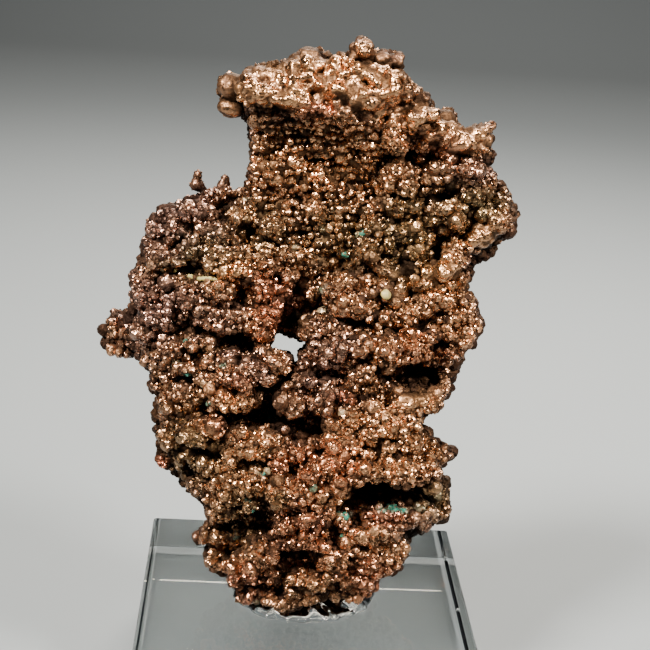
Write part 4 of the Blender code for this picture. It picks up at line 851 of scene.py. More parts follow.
# Each crystal's face is turned by its own random vector, up to about 30 degrees, but much
# less where the skin is fused smooth.
faced = crystals["Color"]
upright = add_node(tree, "ShaderNodeNewGeometry").outputs["Normal"]
for operation, terms in (("SUBTRACT", {1: (0.5, 0.5, 0.5)}), ("SCALE", {3: value["crystal turn"]}),
                         ("ADD", {1: upright}), ("NORMALIZE", {})):
    faced = add_node(tree, "ShaderNodeVectorMath", {0: faced, **terms}, operation=operation) \
        .outputs["Vector"]
facets = add_node(tree, "ShaderNodeBump", {
    "Height": crystals["Distance"], "Normal": faced, "Strength": 0.5, "Distance": 0.07 * MM},
    invert=True)
for socket, result in (("Base Color", colour), ("Metallic", value["metal"]),
                       ("Roughness", value["roughness"]), ("Normal", facets.outputs["Normal"])):
    tree.links.new(result, shader.inputs[socket])

dice = np.random.default_rng(SEED)
solid, solid_faces = welded(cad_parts["copper_nugget"].data)
solid_at, _, _ = scatter(solid, solid_faces, SOLID_TRIES, dice)
front_at = height_map(seen(solid_at), -solid_at[:, 1], 0.5, 0.5)

# The body's front lies back between the lobes, except near the rim and the hole, where it
# is thin.
thick = np.clip((inside_by(seen(solid)) - RECESS_FROM) / RECESS_FULL, 0.0, 1.0)
facing = np.clip(-(solid[:, 1] + sway(*seen(solid).T)) / 2.0, 0.0, 1.0)
solid[:, 1] += thick * facing * FRONT_RECESS

ledge_centres, ledge_sizes = ledge_nodules(dice)
rim_centres, rim_sizes = rim_nodules(dice, *RIM_BALLS)
grown = np.concatenate([ledge_centres, rim_centres])
grown_sizes = np.concatenate([ledge_sizes, rim_sizes])
keep = (in_gaps(seen(grown), *GAP_RIM) < 0.5) & (grown[:, 2] - grown_sizes[:, 2] > FOOT_CLEAR)
body, body_quads = fused([(solid, solid_faces), balls(grown[keep], grown_sizes[keep]),
                          balls(*lobe_balls(front_at))], BODY_VOXEL)
body = smoothed(drawn_in(body), body_quads)

# Gaps are pressed back, with steep sides, and lumps of two sizes swell between them.
sight = seen(body)
facing = -point_normals(body, body_quads)[:, 1] * PRESS_SLOPE[0] + PRESS_SLOPE[1]
facing = np.clip(facing, 0.0, 1.0) * (body[:, 1] < PRESS_BACK)
room = np.clip(inside_by(sight) / 2.0, 0.0, 1.0)
body[:, 1] += in_gaps(sight, *GAP_WALL, by_depth=True) * facing * room
wide = domes(body * WIDE_SHAPE, WIDE_SWELL)
lumps = wide + domes(body + 40.0, SMALL_SWELL) * SMALL_SWELL_HIGH - SWELL_MEAN
lumps = lumps * (RIM_SWELL + (1.0 - RIM_SWELL) * room)
body = body + point_normals(body, body_quads) * lumps[:, None]
crevice = between(wide) * (RIM_CREVICE + (1.0 - RIM_CREVICE) * room)
body = drawn_in(body)
normals = point_normals(body, body_quads)

# ---------------------------------------------------------------------------------------------
# Nugget, crown and smooth lumps: where the copper fused before it was lifted out, its nodules
# ran together into bright rounded lumps, above all along the crest. They are one skin over
# overlapping balls, finer than the body's, with a faintly rippled surface.
# ---------------------------------------------------------------------------------------------

# x, z, least depth, three radii, tilt: each stands proud of the front by 1.05 mm or more.
CROWN = [
    (-11.95, 62.1, 0.9, 1.6, 1.4, 1.45, 0), (-11.9, 59.65, 0.9, 1.55, 1.3, 1.1, -6),
    (-8.6, 61.5, 5.2, 2.0, 1.4, 1.0, -6), (-6.4, 61.1, 5.4, 2.0, 1.4, 0.95, -9),
    (-4.2, 60.75, 5.3, 1.8, 1.4, 0.85, -12), (-2.2, 60.3, 4.8, 1.3, 1.2, 0.75, -16),
    (-10.9, 61.8, 1.0, 0.8, 0.8, 0.7, 0), (-10.9, 60.8, 1.4, 0.5, 0.5, 0.42, 0),
    (-10.3, 63.1, 2.6, 0.8, 1.2, 0.8, 0), (-9.1, 63.9, 2.4, 0.8, 1.2, 0.6, 0),
    (-7.9, 63.4, 3.4, 0.85, 1.2, 0.85, 0), (-9.4, 62.5, 3.6, 0.55, 0.9, 0.45, 0),
    (-6.6, 62.9, 4.2, 0.9, 1.2, 0.9, 0), (-5.2, 63.7, 4.2, 0.8, 1.1, 0.8, 0),
    (-5.3, 62.4, 4.6, 0.75, 1.0, 0.6, 0), (-3.8, 63.6, 4.0, 1.0, 1.2, 0.85, 0),
    (-4.0, 62.3, 4.8, 0.8, 1.0, 0.55, 0), (-2.5, 62.9, 4.4, 0.9, 1.2, 0.6, 15),
    (-1.2, 63.5, 4.4, 0.9, 1.2, 0.55, 22), (0.2, 64.1, 4.2, 1.0, 1.2, 0.55, 24),
    (-2.0, 61.6, 4.8, 0.9, 1.1, 0.7, 0), (-0.4, 62.4, 4.6, 0.8, 1.1, 0.75, 0),
    (-0.3, 61.2, 4.5, 0.7, 1.0, 0.6, 0), (1.1, 63.1, 4.4, 0.8, 1.2, 0.8, 0),
    (0.9, 61.7, 4.4, 0.65, 1.0, 0.6, 0), (2.4, 64.5, 3.6, 0.95, 1.3, 0.9, 0),
    (2.5, 62.3, 4.4, 0.8, 1.1, 0.7, 0), (4.1, 63.7, 3.8, 1.15, 1.4, 1.0, -15),
    (4.3, 62.0, 4.6, 0.8, 1.1, 0.75, 0), (5.9, 62.9, 3.6, 1.0, 1.3, 0.9, -25),
    (7.3, 62.3, 2.8, 0.9, 1.2, 0.85, -30), (6.3, 61.2, 4.4, 0.9, 1.1, 0.85, 0),
    (8.5, 60.9, 3.0, 0.85, 1.1, 0.75, 0), (7.4, 59.9, 4.0, 0.7, 1.0, 0.7, 0),
    (5.0, 60.4, 4.4, 0.7, 1.0, 0.6, 0), (-5.2, 65.0, 1.4, 1.3, 1.4, 0.85, 12),
    (-3.7, 65.8, 0.9, 1.4, 1.3, 0.95, 0), (-2.7, 65.0, 1.8, 1.1, 1.3, 0.75, 0),
    (-6.8, 64.3, 1.8, 0.8, 1.1, 0.6, 15), (-0.6, 65.3, 1.0, 0.8, 1.2, 0.7, 0),
    (0.6, 65.5, 0.9, 0.75, 1.2, 0.65, 0), (2.1, 66.9, 0.5, 1.4, 1.3, 1.15, 0),
    (2.5, 65.7, 0.8, 1.0, 1.2, 0.9, 0), (4.5, 65.8, 1.5, 1.2, 1.2, 1.2, 0),
    (3.9, 65.0, 1.0, 1.0, 1.2, 0.8, 0), (6.25, 65.9, 0.7, 0.7, 0.9, 0.95, 0),
    (6.3, 64.4, 1.2, 0.85, 1.2, 0.75, 0), (9.0, 61.75, 0.9, 1.05, 1.2, 1.05, 0),
    (10.4, 60.1, 1.2, 0.9, 1.1, 0.8, 0), (12.1, 59.75, 0.9, 1.05, 1.2, 1.05, 0),
    (11.3, 58.6, 2.4, 1.2, 1.3, 1.0, 0), (12.9, 58.7, 1.6, 1.0, 1.1, 0.75, -20),
    (10.2, 57.8, 3.2, 0.8, 1.0, 0.7, 0), (13.9, 57.25, 3.6, 1.9, 1.3, 1.15, -8),
    (15.0, 56.6, 3.4, 0.9, 1.2, 0.8, -4), (15.6, 58.2, 1.8, 1.3, 1.1, 0.75, 28),
    (16.7, 58.9, 1.3, 1.1, 1.0, 0.65, 45), (16.7, 57.7, 1.4, 0.8, 1.0, 1.0, 0),
    (16.9, 56.2, 0.9, 0.8, 1.0, 0.7, 0), (15.7, 55.7, 1.6, 0.8, 1.0, 0.8, 0),
    (6.2, 57.5, 4.3, 1.05, 1.3, 1.15, 0), (7.5, 57.4, 4.2, 1.0, 1.3, 1.1, 0),
    (6.9, 56.4, 4.2, 0.9, 1.2, 0.8, 0), (2.6, 57.1, 4.0, 1.1, 1.2, 0.95, 0),
    (8.4, 59.1, 3.6, 0.85, 1.1, 0.8, 0), (9.6, 56.8, 3.2, 0.65, 1.0, 0.65, 0),
    (17.4, 46.9, 2.8, 1.7, 1.6, 1.5, 30), (16.2, 46.2, 3.2, 1.0, 1.4, 0.8, 25),
    (19.1, 48.3, 1.8, 1.2, 1.2, 1.4, 45),
    (11.4, 41.8, 5.0, 1.2, 1.4, 1.2, 5), (13.3, 42.2, 5.0, 1.3, 1.4, 1.2, 25),
    (14.6, 43.4, 4.2, 0.7, 0.9, 0.9, 40), (15.4, 41.4, 3.6, 0.9, 1.1, 0.8, -30),
    (8.4, 40.1, 5.6, 1.35, 1.5, 1.65, -12), (11.9, 26.2, 6.0, 1.3, 1.3, 1.0, 15),
    (10.2, 25.8, 6.2, 1.4, 1.3, 1.0, 22), (-5.7, 39.1, 2.0, 1.4, 1.2, 1.1, 0),
    (-12.3, 21.6, -3.0, 1.3, 1.2, 1.3, 0), (-4.2, 17.2, -3.0, 1.0, 1.0, 1.1, 0),
    (-1.4, 30.7, -3.0, 0.8, 0.9, 1.1, 0), (5.0, 29.2, -3.0, 1.5, 1.0, 0.7, 32),
    (1.8, 17.4, -3.0, 1.4, 1.1, 0.9, 25), (-3.6, 37.6, -3.0, 1.0, 0.8, 0.55, -5),
    (-1.9, 48.6, -3.0, 0.9, 0.9, 0.8, 0), (-6.6, 46.4, -3.0, 0.9, 0.9, 0.75, 0),
    (-12.4, 45.4, -3.0, 0.9, 0.9, 0.8, 0), (-16.6, 47.6, -3.0, 0.8, 0.9, 0.9, 0),
    (-18.0, 16.7, 0.6, 0.5, 0.6, 0.5, 0), (-15.35, 50.7, 0.2, 0.85, 0.8, 0.75, 15),
    (-15.3, 51.7, 0.1, 0.55, 0.5, 0.7, -10), (-14.6, 50.1, 0.2, 0.5, 0.5, 0.6, 20),
    (-14.3, 49.2, 0.2, 0.6, 0.6, 0.9, 0), (-12.4, 49.9, 0.3, 1.15, 1.0, 0.8, 0),
    (-12.3, 50.8, 0.2, 0.8, 0.7, 0.7, 0), (-12.15, 51.6, 0.1, 0.5, 0.4, 0.6, 0),
]
# Where small lumps fill the skin between them: x, z, half width, half height.
CROWN_FILL = [(-1.5, 62.4, 10.4, 2.7), (7.5, 60.8, 5.0, 2.2), (13.0, 57.6, 4.4, 1.7)]
CROWN_VOXEL = 0.2
CROWN_PROUD = 1.05
FILL_TRIES, FILL_SPACING = 90000, 1.3
FILL_PAST = 0.3  # mm that a small lump may stand past the outline
CALM_LEFT = -10.6  # the two balls to the left of this x are smoother than the rest
FILL_SIZES, FILL_STRETCH, FILL_RAISED = (0.5, 0.85), (0.85, 1.2), 0.15
COBBLE, PEBBLE = (1.3, 0.34), (0.6, 0.13)  # mm across, mm high
COBBLE_SHAPE = (1.0, 1.0, 1.3)
COBBLE_MEAN, COBBLE_CALM = 0.25, 0.35


def thinned(at, spacing):
    """Indices of the points kept when each cube of the spacing keeps one."""
    return np.unique(np.floor(at / spacing).astype(np.int64), axis=0, return_index=True)[1]


def halves(quads):
    """The two triangles of each quad."""
    return np.concatenate([quads[:, [0, 1, 2]], quads[:, [0, 2, 3]]])


crown_list = np.array(CROWN)
near_front = height_map(seen(body), -body[:, 1], 0.6, 0.0)
proud = near_front(crown_list[:, :2]) - sway(*crown_list[:, :2].T) + CROWN_PROUD - crown_list[:, 4]
crown_list[:, 2] = np.maximum(crown_list[:, 2], proud)
fill_at, fill_normal, _ = scatter(body, halves(body_quads), FILL_TRIES, dice)
inside = np.min([oval(seen(fill_at), *zone, 0.0) for zone in CROWN_FILL], axis=0) < 1.0
fill = np.flatnonzero(inside & (fill_normal[:, 1] < 0.2) & (fill_at[:, 1] < 2.0))
fill = fill[thinned(fill_at[fill], FILL_SPACING)]
fill_radii = dice.uniform(*FILL_SIZES, (len(fill), 1))
fill_radii = fill_radii * dice.uniform(*FILL_STRETCH, (len(fill), 3))
fill_at = fill_at[fill] + FILL_RAISED * fill_radii * fill_normal[fill]
over, _ = signed_gap(seen(fill_at), OUTLINE)
fill_radii = np.minimum(fill_radii, np.clip(FILL_PAST - over, 0.1, None)[:, None])
crown, crown_quads = fused([
    balls(placed(*crown_list[:, :3].T), crown_list[:, 3:6], crown_list[:, 6], splits=3),
    balls(fill_at, fill_radii)], CROWN_VOXEL)
crown = smoothed(crown, crown_quads)
cobbles = domes(crown * COBBLE_SHAPE + 9.0, COBBLE[0])
dents = cobbles * COBBLE[1] + domes(crown + 23.0, PEBBLE[0]) * PEBBLE[1] - COBBLE_MEAN
dents = dents * np.where(crown[:, 0] < CALM_LEFT, COBBLE_CALM, 1.0)
crown = crown + point_normals(crown, crown_quads) * dents[:, None]
# The creases between the cobbles, kept as painted shade for the lumps' colour.
crease_shade = between(cobbles)
crown_normals = point_normals(crown, crown_quads)

# ---------------------------------------------------------------------------------------------
# Nugget, films on its skin: cuprite, malachite and bare metal, which handling and damp air left golden,
# mauve, red or green, and a dark oxide in the hollows deepened by painted shade. Each zone is an oval
# in x and z. Hollows are found from the form: how far a point lies behind the mean skin around it.
# ---------------------------------------------------------------------------------------------

# x, z, radius in x, radius in z, strength.
GOLD_ZONES = [
    (-2.0, 63.5, 11.0, 3.6, 0.62), (10.0, 59.0, 6.0, 3.0, 0.5), (15.2, 57.6, 3.2, 1.8, 0.6),
    (-12.3, 61.0, 2.0, 2.8, 0.6), (-1.0, 55.0, 9.0, 4.5, 0.4), (17.0, 46.4, 3.4, 1.8, 0.4),
    (12.6, 41.4, 4.0, 3.0, 0.55), (12.0, 35.0, 5.0, 4.0, 0.35), (2.0, 15.5, 6.0, 6.0, 0.4),
    (8.0, 20.5, 7.0, 5.0, 0.4), (4.0, 4.0, 9.0, 6.0, 0.4), (-8.0, 16.5, 5.0, 5.0, 0.35),
    (-9.0, 5.0, 4.0, 3.0, 0.4), (-11.0, 40.0, 3.5, 2.5, 0.45), (11.4, 25.7, 3.0, 1.6, 0.5),
    (-10.0, 26.5, 2.6, 2.6, 0.45), (6.6, 57.4, 2.0, 1.6, 0.4), (-7.2, 36.0, 1.6, 2.6, 0.4),
]
MAUVE_ZONES = [
    (-17.0, 44.5, 5.5, 5.0, 0.6), (-19.5, 36.0, 4.5, 5.0, 0.65), (-14.0, 36.0, 5.0, 3.5, 0.4),
    (-15.0, 48.5, 3.0, 2.6, 0.5), (0.0, 30.0, 4.0, 5.0, 0.45), (-9.0, 29.0, 4.0, 3.0, 0.4),
    (15.5, 53.6, 3.2, 3.0, 0.4), (12.0, 10.6, 3.5, 3.0, 0.2), (1.5, 34.0, 3.0, 3.0, 0.3),
    (-2.0, 22.5, 2.5, 3.5, 0.3),
]
RED_ZONES = [
    (-6.0, 36.6, 2.6, 4.0, 0.6), (-8.0, 39.0, 3.0, 2.0, 0.35), (1.0, 17.0, 5.0, 4.0, 0.45),
    (-1.0, 8.0, 7.0, 6.0, 0.4), (8.0, 2.6, 5.0, 3.0, 0.5), (12.0, 33.0, 4.0, 3.0, 0.3),
    (-7.0, 1.6, 4.0, 3.0, 0.4), (-18.0, 16.6, 0.8, 0.8, 0.9), (-12.3, 21.6, 1.6, 1.6, 0.5),
    (-4.2, 17.2, 1.4, 1.5, 0.5), (8.0, 10.8, 4.0, 1.6, 0.4), (-10.0, 27.0, 2.4, 1.6, 0.3),
    (3.0, 26.0, 1.6, 0.8, 0.6), (11.0, 57.0, 4.0, 2.0, 0.25), (-2.4, 60.0, 2.4, 1.0, 0.5),
]
OLIVE_ZONES = [
    (9.0, 46.0, 4.5, 5.5, 0.5), (16.5, 50.2, 3.6, 2.4, 0.5), (13.0, 49.0, 4.0, 4.0, 0.35),
    (-14.0, 43.0, 4.0, 3.0, 0.4), (-16.0, 40.8, 4.4, 1.4, 0.5), (2.0, 45.5, 6.0, 4.5, 0.35),
    (-14.6, 18.5, 4.0, 5.0, 0.4), (-7.4, 10.0, 4.0, 4.0, 0.35), (14.8, 13.6, 2.0, 2.6, 0.5),
    (-8.0, 46.0, 5.0, 4.0, 0.3), (-3.9, 12.6, 1.2, 1.2, 0.5),
]
VERDIGRIS_SPOTS = [
    (-0.5, 46.2, 0.45, 0.4, 0.8), (3.7, 46.6, 0.4, 0.7, 0.85), (2.0, 43.5, 0.5, 0.4, 0.85),
    (-3.8, 43.9, 0.5, 0.4, 0.4), (-15.3, 30.6, 0.6, 0.45, 0.85), (-16.7, 29.4, 0.5, 0.4, 0.8),
    (-15.5, 28.2, 0.6, 0.4, 0.7), (-11.3, 29.4, 0.5, 0.5, 0.7), (-15.7, 32.2, 0.5, 0.3, 0.7),
    (-12.8, 24.7, 0.5, 0.4, 0.8), (-13.2, 26.7, 0.5, 0.5, 0.6), (-5.9, 15.9, 0.9, 0.3, 0.9),
    (-6.9, 16.8, 0.5, 0.35, 0.7), (-7.5, 12.3, 0.7, 0.4, 0.8), (-6.9, 10.9, 0.5, 0.5, 0.8),
    (-13.3, 14.3, 0.4, 0.4, 0.5), (-9.1, 7.7, 0.7, 0.3, 0.5), (10.4, 11.8, 1.6, 0.5, 0.9),
    (8.7, 11.8, 0.8, 0.4, 0.85), (14.4, 13.3, 1.0, 1.0, 0.5), (4.1, 10.7, 0.8, 0.35, 0.85),
    (5.7, 13.9, 0.7, 0.4, 0.6), (4.4, 8.0, 0.9, 0.35, 0.8), (0.2, 14.4, 0.35, 0.3, 0.7),
    (-0.4, 39.2, 0.7, 0.8, 0.55), (-0.5, 36.6, 0.6, 0.5, 0.5), (16.2, 50.2, 1.2, 0.5, 0.45),
    (13.2, 52.5, 0.9, 0.4, 0.45), (-5.4, 22.8, 0.35, 0.7, 0.8), (-5.8, -1.5, 0.8, 0.4, 0.6),
    (-9.4, 49.6, 0.8, 0.4, 0.4), (3.0, 24.4, 0.4, 0.3, 0.5), (-3.0, 36.0, 1.4, 0.5, 0.45),
    (2.2, 19.9, 1.2, 0.25, 0.5), (13.0, 12.2, 1.6, 0.5, 0.5), (5.8, 1.4, 1.2, 0.2, 0.5),
]
HOLLOW_MAP = (0.25, 1.2)  # the cell, and how far round a point the skin counts as near it
HOLLOW_FROM, HOLLOW_FULL, RAISED_FULL = 0.05, 0.95, 0.9  # mm behind the mean, mm before it
BACK_SHARE, STAINED_DARK = 0.6, 0.8
GOLD_ON_RAISED, GOLD_ALL_OVER = 0.25, 0.05
# The body's tone, and the painted shade over it: its least darkness, and how much more in crevices.
BODY_TONE, BODY_SHADE = 0.7, (0.72, 0.25)
CROWN_TONE, CROWN_SMOOTH, CALM_SMOOTH = 0.9, 0.4, 0.8


def zone_sum(at, zones):
    """The largest strength of any zone at each (x, z): strength times exp(-(distance)^4) in
    units of the zone's radii, so that a zone is even inside and soft at its edge."""
    total = np.zeros(len(at))
    for *shape, strength in zones:
        total = np.maximum(total, strength * np.exp(-oval(at, *shape, 0.0) ** 2))
    return total


def films(points, normal, tone, smooth=0.0):
    """The three attributes at each point. film: gold, mauve, red. stain: verdigris, olive and nothing.
    shade: painted shade of the hollows, tone, smoothness. The painted shade grows with how far a point
    is sunk behind the mean skin, cut to 0 and 1, is full in the gaps between lobes and is less where
    verdigris lies. Points that face back have the zones' films only in part."""
    front = (normal[:, 1] < 0.25) & (points[:, 1] < 2.5)
    at = seen(points)
    sunk = np.where(front, front_mean(at) + points[:, 1],
                    back_mean(points[:, [0, 2]]) - points[:, 1])
    # Painted shade: the hollows and the gaps between lobes are darkened, less where verdigris lies.
    hollow = np.clip((sunk - HOLLOW_FROM) / HOLLOW_FULL, 0.0, 1.0)
    hollow = np.maximum(hollow, in_gaps(at, *GAP_RIM) * front)
    share = np.where(front, 1.0, BACK_SHARE)
    raised = np.clip(-sunk / RAISED_FULL, -0.3, 1.0)
    gold = zone_sum(at, GOLD_ZONES) * share + GOLD_ON_RAISED * raised + GOLD_ALL_OVER
    green = zone_sum(at, VERDIGRIS_SPOTS) * (0.75 + 0.25 * hollow)
    dark = np.clip(hollow, 0.0, 0.97) * (1.0 - STAINED_DARK * green)
    mauve, red, olive = [zone_sum(at, zones) * share for zones in (
        MAUVE_ZONES, RED_ZONES, OLIVE_ZONES)]
    return {"film": np.stack([np.clip(gold, 0.0, 1.0), mauve, red], axis=-1),
            "stain": np.stack([green, olive, 0.0 * olive], axis=-1),
            "shade": np.stack([dark, tone, np.broadcast_to(smooth, dark.shape)], axis=-1)}


def copper_piece(name, points, faces, colours, smooth=True):
    """A piece of the nugget from points in mm above the block, with its films as colour
    attributes of three channels each."""
    piece = mesh_piece(name, points * MM + (0.0, 0.0, BLOCK_TOP), faces, copper, smooth)
    for key, values in colours.items():
        layer = piece.data.color_attributes.new(key, "FLOAT_COLOR", "POINT")
        four = np.concatenate([values, np.ones((len(values), 1))], axis=1)
        layer.data.foreach_set("color", four.astype(np.float32).ravel())
    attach(piece, "root")
    return piece


every = np.concatenate([body, crown])
front_mean = height_map(seen(every), -every[:, 1], *HOLLOW_MAP)
back_mean = height_map(every[:, [0, 2]], every[:, 1], *HOLLOW_MAP)

# Painted shade: the body shows only in the shaded gaps between the crystals, so it is darkened all
# over, and most in the crevices between its domes.
body_films = films(body, normals, np.full(len(body), BODY_TONE))
body_shade = (BODY_SHADE[0] + BODY_SHADE[1] * crevice) * (1.0 - 0.6 * body_films["stain"][:, 0])
body_films["shade"][:, 0] = np.maximum(body_films["shade"][:, 0], body_shade)
nugget = copper_piece("nugget_body", body, body_quads, body_films)
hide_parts("copper_nugget")

fused_smooth = np.where(crown[:, 0] < CALM_LEFT, CALM_SMOOTH, CROWN_SMOOTH)
crown_films = films(crown, crown_normals, np.full(len(crown), CROWN_TONE), fused_smooth)
# Painted shade in the creases between the cobbles.
crown_films["shade"][:, 0] = np.maximum(0.9 * crown_films["shade"][:, 0], 0.8 * crease_shade)
copper_piece("nugget_smooth_lumps", crown, crown_quads, crown_films)

# ---------------------------------------------------------------------------------------------
# Nugget, crust of nodules and crystals: copper that grew all over it, in rounded nodules 0.4 to
# 1.7 mm across, level rows of small ones under the crest, and sharp crystals 0.3 to 0.8 mm
# across, fewest on the left flank. Each sits sunk in the mass by about a third of its height.
# ---------------------------------------------------------------------------------------------

# Where the grains are rounded rather than sharp: x, z, half width, half height, strength.
ROUND_ZONES = [
    (-15.0, 43.0, 8.0, 7.5, 1.0), (-1.0, 50.0, 10.0, 9.5, 0.9), (-19.0, 33.5, 6.0, 4.0, 0.7),
    (-14.0, 23.0, 5.0, 6.0, 0.5), (12.0, 50.0, 8.0, 5.0, 0.6), (-1.5, 37.0, 4.0, 5.0, 0.9),
]
# Where the skin is fused smooth, few grains stand out.
SMOOTH_ZONES = [
    (-1.5, 62.5, 10.6, 2.8, 1.0), (7.5, 60.9, 5.2, 2.3, 1.0), (13.2, 57.6, 4.4, 1.9, 1.0),
    (-6.3, 61.3, 5.0, 1.7, 1.0), (-3.6, 65.4, 4.0, 1.6, 1.0), (-9.6, 63.4, 2.6, 1.2, 1.0),
    (-12.3, 61.0, 2.2, 3.4, 1.0), (-1.6, 63.3, 3.0, 1.0, 1.0), (5.2, 63.2, 2.2, 1.1, 1.0),
    (2.0, 67.0, 2.4, 2.0, 1.0), (4.8, 65.9, 3.0, 2.2, 1.0), (9.0, 61.7, 1.8, 1.8, 0.95),
    (12.1, 59.4, 1.7, 1.8, 0.9), (14.0, 57.2, 2.6, 1.6, 1.0), (16.4, 58.2, 2.2, 1.7, 1.0),
    (17.6, 46.8, 2.8, 1.9, 1.0), (8.4, 40.2, 1.6, 2.0, 1.0), (12.9, 42.0, 3.2, 1.6, 1.0),
    (11.2, 26.1, 2.4, 1.1, 1.0), (-5.7, 39.1, 1.2, 0.9, 1.0), (-12.3, 21.6, 1.2, 1.2, 0.9),
]
# The field under the crest, where the grains stand in level rows.
ROW_LEFT, ROW_RIGHT, ROW_LOW, ROW_HIGH = -9.7, 6.4, 44.0, 59.8
ROW_RISE, ROW_STEP, ROW_RADIUS = 0.78, 0.76, 0.4
SKIN_TRIES, LUMP_TRIES = 260000, 24000
ROW_SHIFT, ROW_WAVE, ROW_LIFT, ROW_LEFT_OUT = 0.2, (0.2, 0.8), 0.15, 0.1
RIM_KNOBS = (0.8, 0.32, 0.62)  # step, least and largest radius
PAST_RIM = 0.4
GRAIN_STRETCH, GRAIN_TONES = (0.8, 1.25), (0.6, 1.3)
GRAIN_RAISED = 0.3  # how far a grain's middle stands over the skin, in radii
# Painted shade at a grain's foot: how high over the skin it reaches and how soft its top is, in radii,
# then its darkness on nodules and on crystals.
FOOT_HIGH, FOOT_SOFT = 0.6, 0.8  # in radii over the skin
FOOT_SHADE, CRYSTAL_FOOT_SHADE = 0.85, 0.5
FRONT = np.array([0.0, -1.0, 0.0])
ROW_FRONT = np.array([0.0, -0.95, 0.3])
FINE_BALL, BALL = geodesic(1), geodesic(0)
OCTAHEDRON = (
    np.array([(1, 0, 0), (-1, 0, 0), (0, 1, 0), (0, -1, 0), (0, 0, 1), (0, 0, -1.0)]),
    np.array([(0, 2, 4), (2, 1, 4), (1, 3, 4), (3, 0, 4), (2, 0, 5), (1, 2, 5), (3, 1, 5),
              (0, 3, 5)]))


def turns(count, dice):
    """Random rotation matrices: orthogonal parts of random 3 by 3 matrices."""
    turned, _ = np.linalg.qr(dice.normal(size=(count, 3, 3)))
    return turned * np.sign(np.linalg.det(turned))[:, None, None]


def grown_on(at, normal, radii, shape, bent, dice):
    """Points and triangles of one grain a place, and how high each point stands over the skin
    in radii: the shape's points are pushed in or out at random by the bent share, stretched a
    little, turned, and sunk a third into the skin."""
    ball, faces = shape
    form = ball[None] * dice.uniform(1.0 - bent, 1.0 + bent, (len(at), len(ball), 1))
    form = form * dice.uniform(*GRAIN_STRETCH, (len(at), 1, 3))
    form = np.einsum("nij,npj->npi", turns(len(at), dice), form)
    form = form + GRAIN_RAISED * normal[:, None]
    height = (form * normal[:, None]).sum(axis=2).ravel()
    return *repeated(form * radii[:, None, None] + at[:, None], faces), height


def crust_piece(name, at, normal, radii, shape, bent, sunk=0.0, foot_shade=FOOT_SHADE):
    """One joined piece of grains with their films, each of one tone, with painted shade at its foot
    where it meets the skin, and over all of it as deep as it is sunk in a crevice. Near the outline and
    the hole they are so small that they hardly stand out past them."""
    sight = seen(at)
    over, _ = signed_gap(sight, OUTLINE)
    from_hole, _ = signed_gap(sight, HOLE)
    radii = np.minimum(radii, np.clip(np.minimum(PAST_RIM - over, from_hole), 0.1, None))
    points, faces, height = grown_on(at, normal, radii, shape, bent, dice)
    each = films(at, normal, dice.uniform(*GRAIN_TONES, len(at)))
    # Painted shade: a grain sunk in a crevice is darkened all over, and every grain is darkened at its
    # foot.
    each["shade"][:, 0] = np.maximum(each["shade"][:, 0] * 0.9, sunk)
    colours = {key: np.repeat(values, len(shape[0]), axis=0) for key, values in each.items()}
    foot = foot_shade * np.clip((FOOT_HIGH - height) / FOOT_SOFT, 0.0, 1.0)
    foot = foot * (1.0 - 0.7 * colours["stain"][:, 0])
    colours["shade"][:, 0] = np.maximum(colours["shade"][:, 0], foot)
    copper_piece(name, points, faces, colours, smooth=False)


skin_at, skin_normal, skin_corner = scatter(body, halves(body_quads), SKIN_TRIES, dice)
skin_deep = crevice[skin_corner]
skin_sight = seen(skin_at)
skin_x, skin_z = skin_sight.T
on_front = (skin_normal[:, 1] < 0.3) & (skin_at[:, 1] < 3.0)
roundness = zone_sum(skin_sight, ROUND_ZONES)
bare = zone_sum(skin_sight, SMOOTH_ZONES) * on_front
in_rows = on_front & (skin_normal[:, 1] < -0.2) & (skin_x > ROW_LEFT + 0.4) \
    & (skin_x < ROW_RIGHT) & (skin_z > ROW_LOW) & (skin_z < ROW_HIGH)
open_skin = (bare < 0.45) & ~in_rows
luck = dice.uniform(size=len(skin_at))

# Nodules of three sizes, the larger the rarer, and none in the crevices.
for name, allowed, share, spacing, radius, shape in (
        ("nodules_large", on_front & (skin_deep < 0.2), 0.7, 2.2, 0.62, FINE_BALL),
        ("nodules_middle", on_front & (skin_deep < 0.5), 1.0, 1.1, 0.42, BALL),
        ("nodules_small", on_front & (skin_deep < 0.7), 0.25 + 0.75 * roundness, 0.72, 0.28, BALL),
        ("nodules_back", ~on_front & (skin_deep < 0.6), 1.0, 1.05, 0.45, BALL)):
    chosen = np.flatnonzero(open_skin & allowed)
    chosen = chosen[thinned(skin_at[chosen], spacing)]
    chosen = chosen[luck[chosen] < (share * np.ones(len(luck)))[chosen]]
    # The depth of the crevice under each nodule is passed on as painted shade.
    crust_piece(name, skin_at[chosen], skin_normal[chosen],
                radius * dice.uniform(0.65, 1.4, len(chosen)), shape, 0.12,
                0.6 * skin_deep[chosen])

# Rows of small balls under the crest, every other one moved on by half a step.
row_points = []
for row in range(round((ROW_HIGH - ROW_LOW) / ROW_RISE)):
    x = np.arange(ROW_LEFT, ROW_RIGHT, ROW_STEP) + (row % 2) * 0.5 * ROW_STEP
    x = x + dice.uniform(-ROW_SHIFT, ROW_SHIFT, len(x))
    z = ROW_LOW + row * ROW_RISE + ROW_WAVE[0] * np.sin(ROW_WAVE[1] * x + row)
    z = z + dice.uniform(-ROW_LIFT, ROW_LIFT, len(x))
    row_points.append(np.stack([x, z], axis=-1)[dice.uniform(size=len(x)) > ROW_LEFT_OUT])
row_points = np.concatenate(row_points)
row_points = row_points[in_gaps(row_points, *GAP_RIM) < 0.6]
near_skin = height_map(skin_sight, -skin_at[:, 1], 0.45, 0.0)
row_points = row_points[near_skin(row_points) > -20.0]
row_depth = near_skin(row_points) - sway(*row_points.T) + dice.uniform(-0.1, 0.1, len(row_points))
row_at = placed(*row_points.T, row_depth)
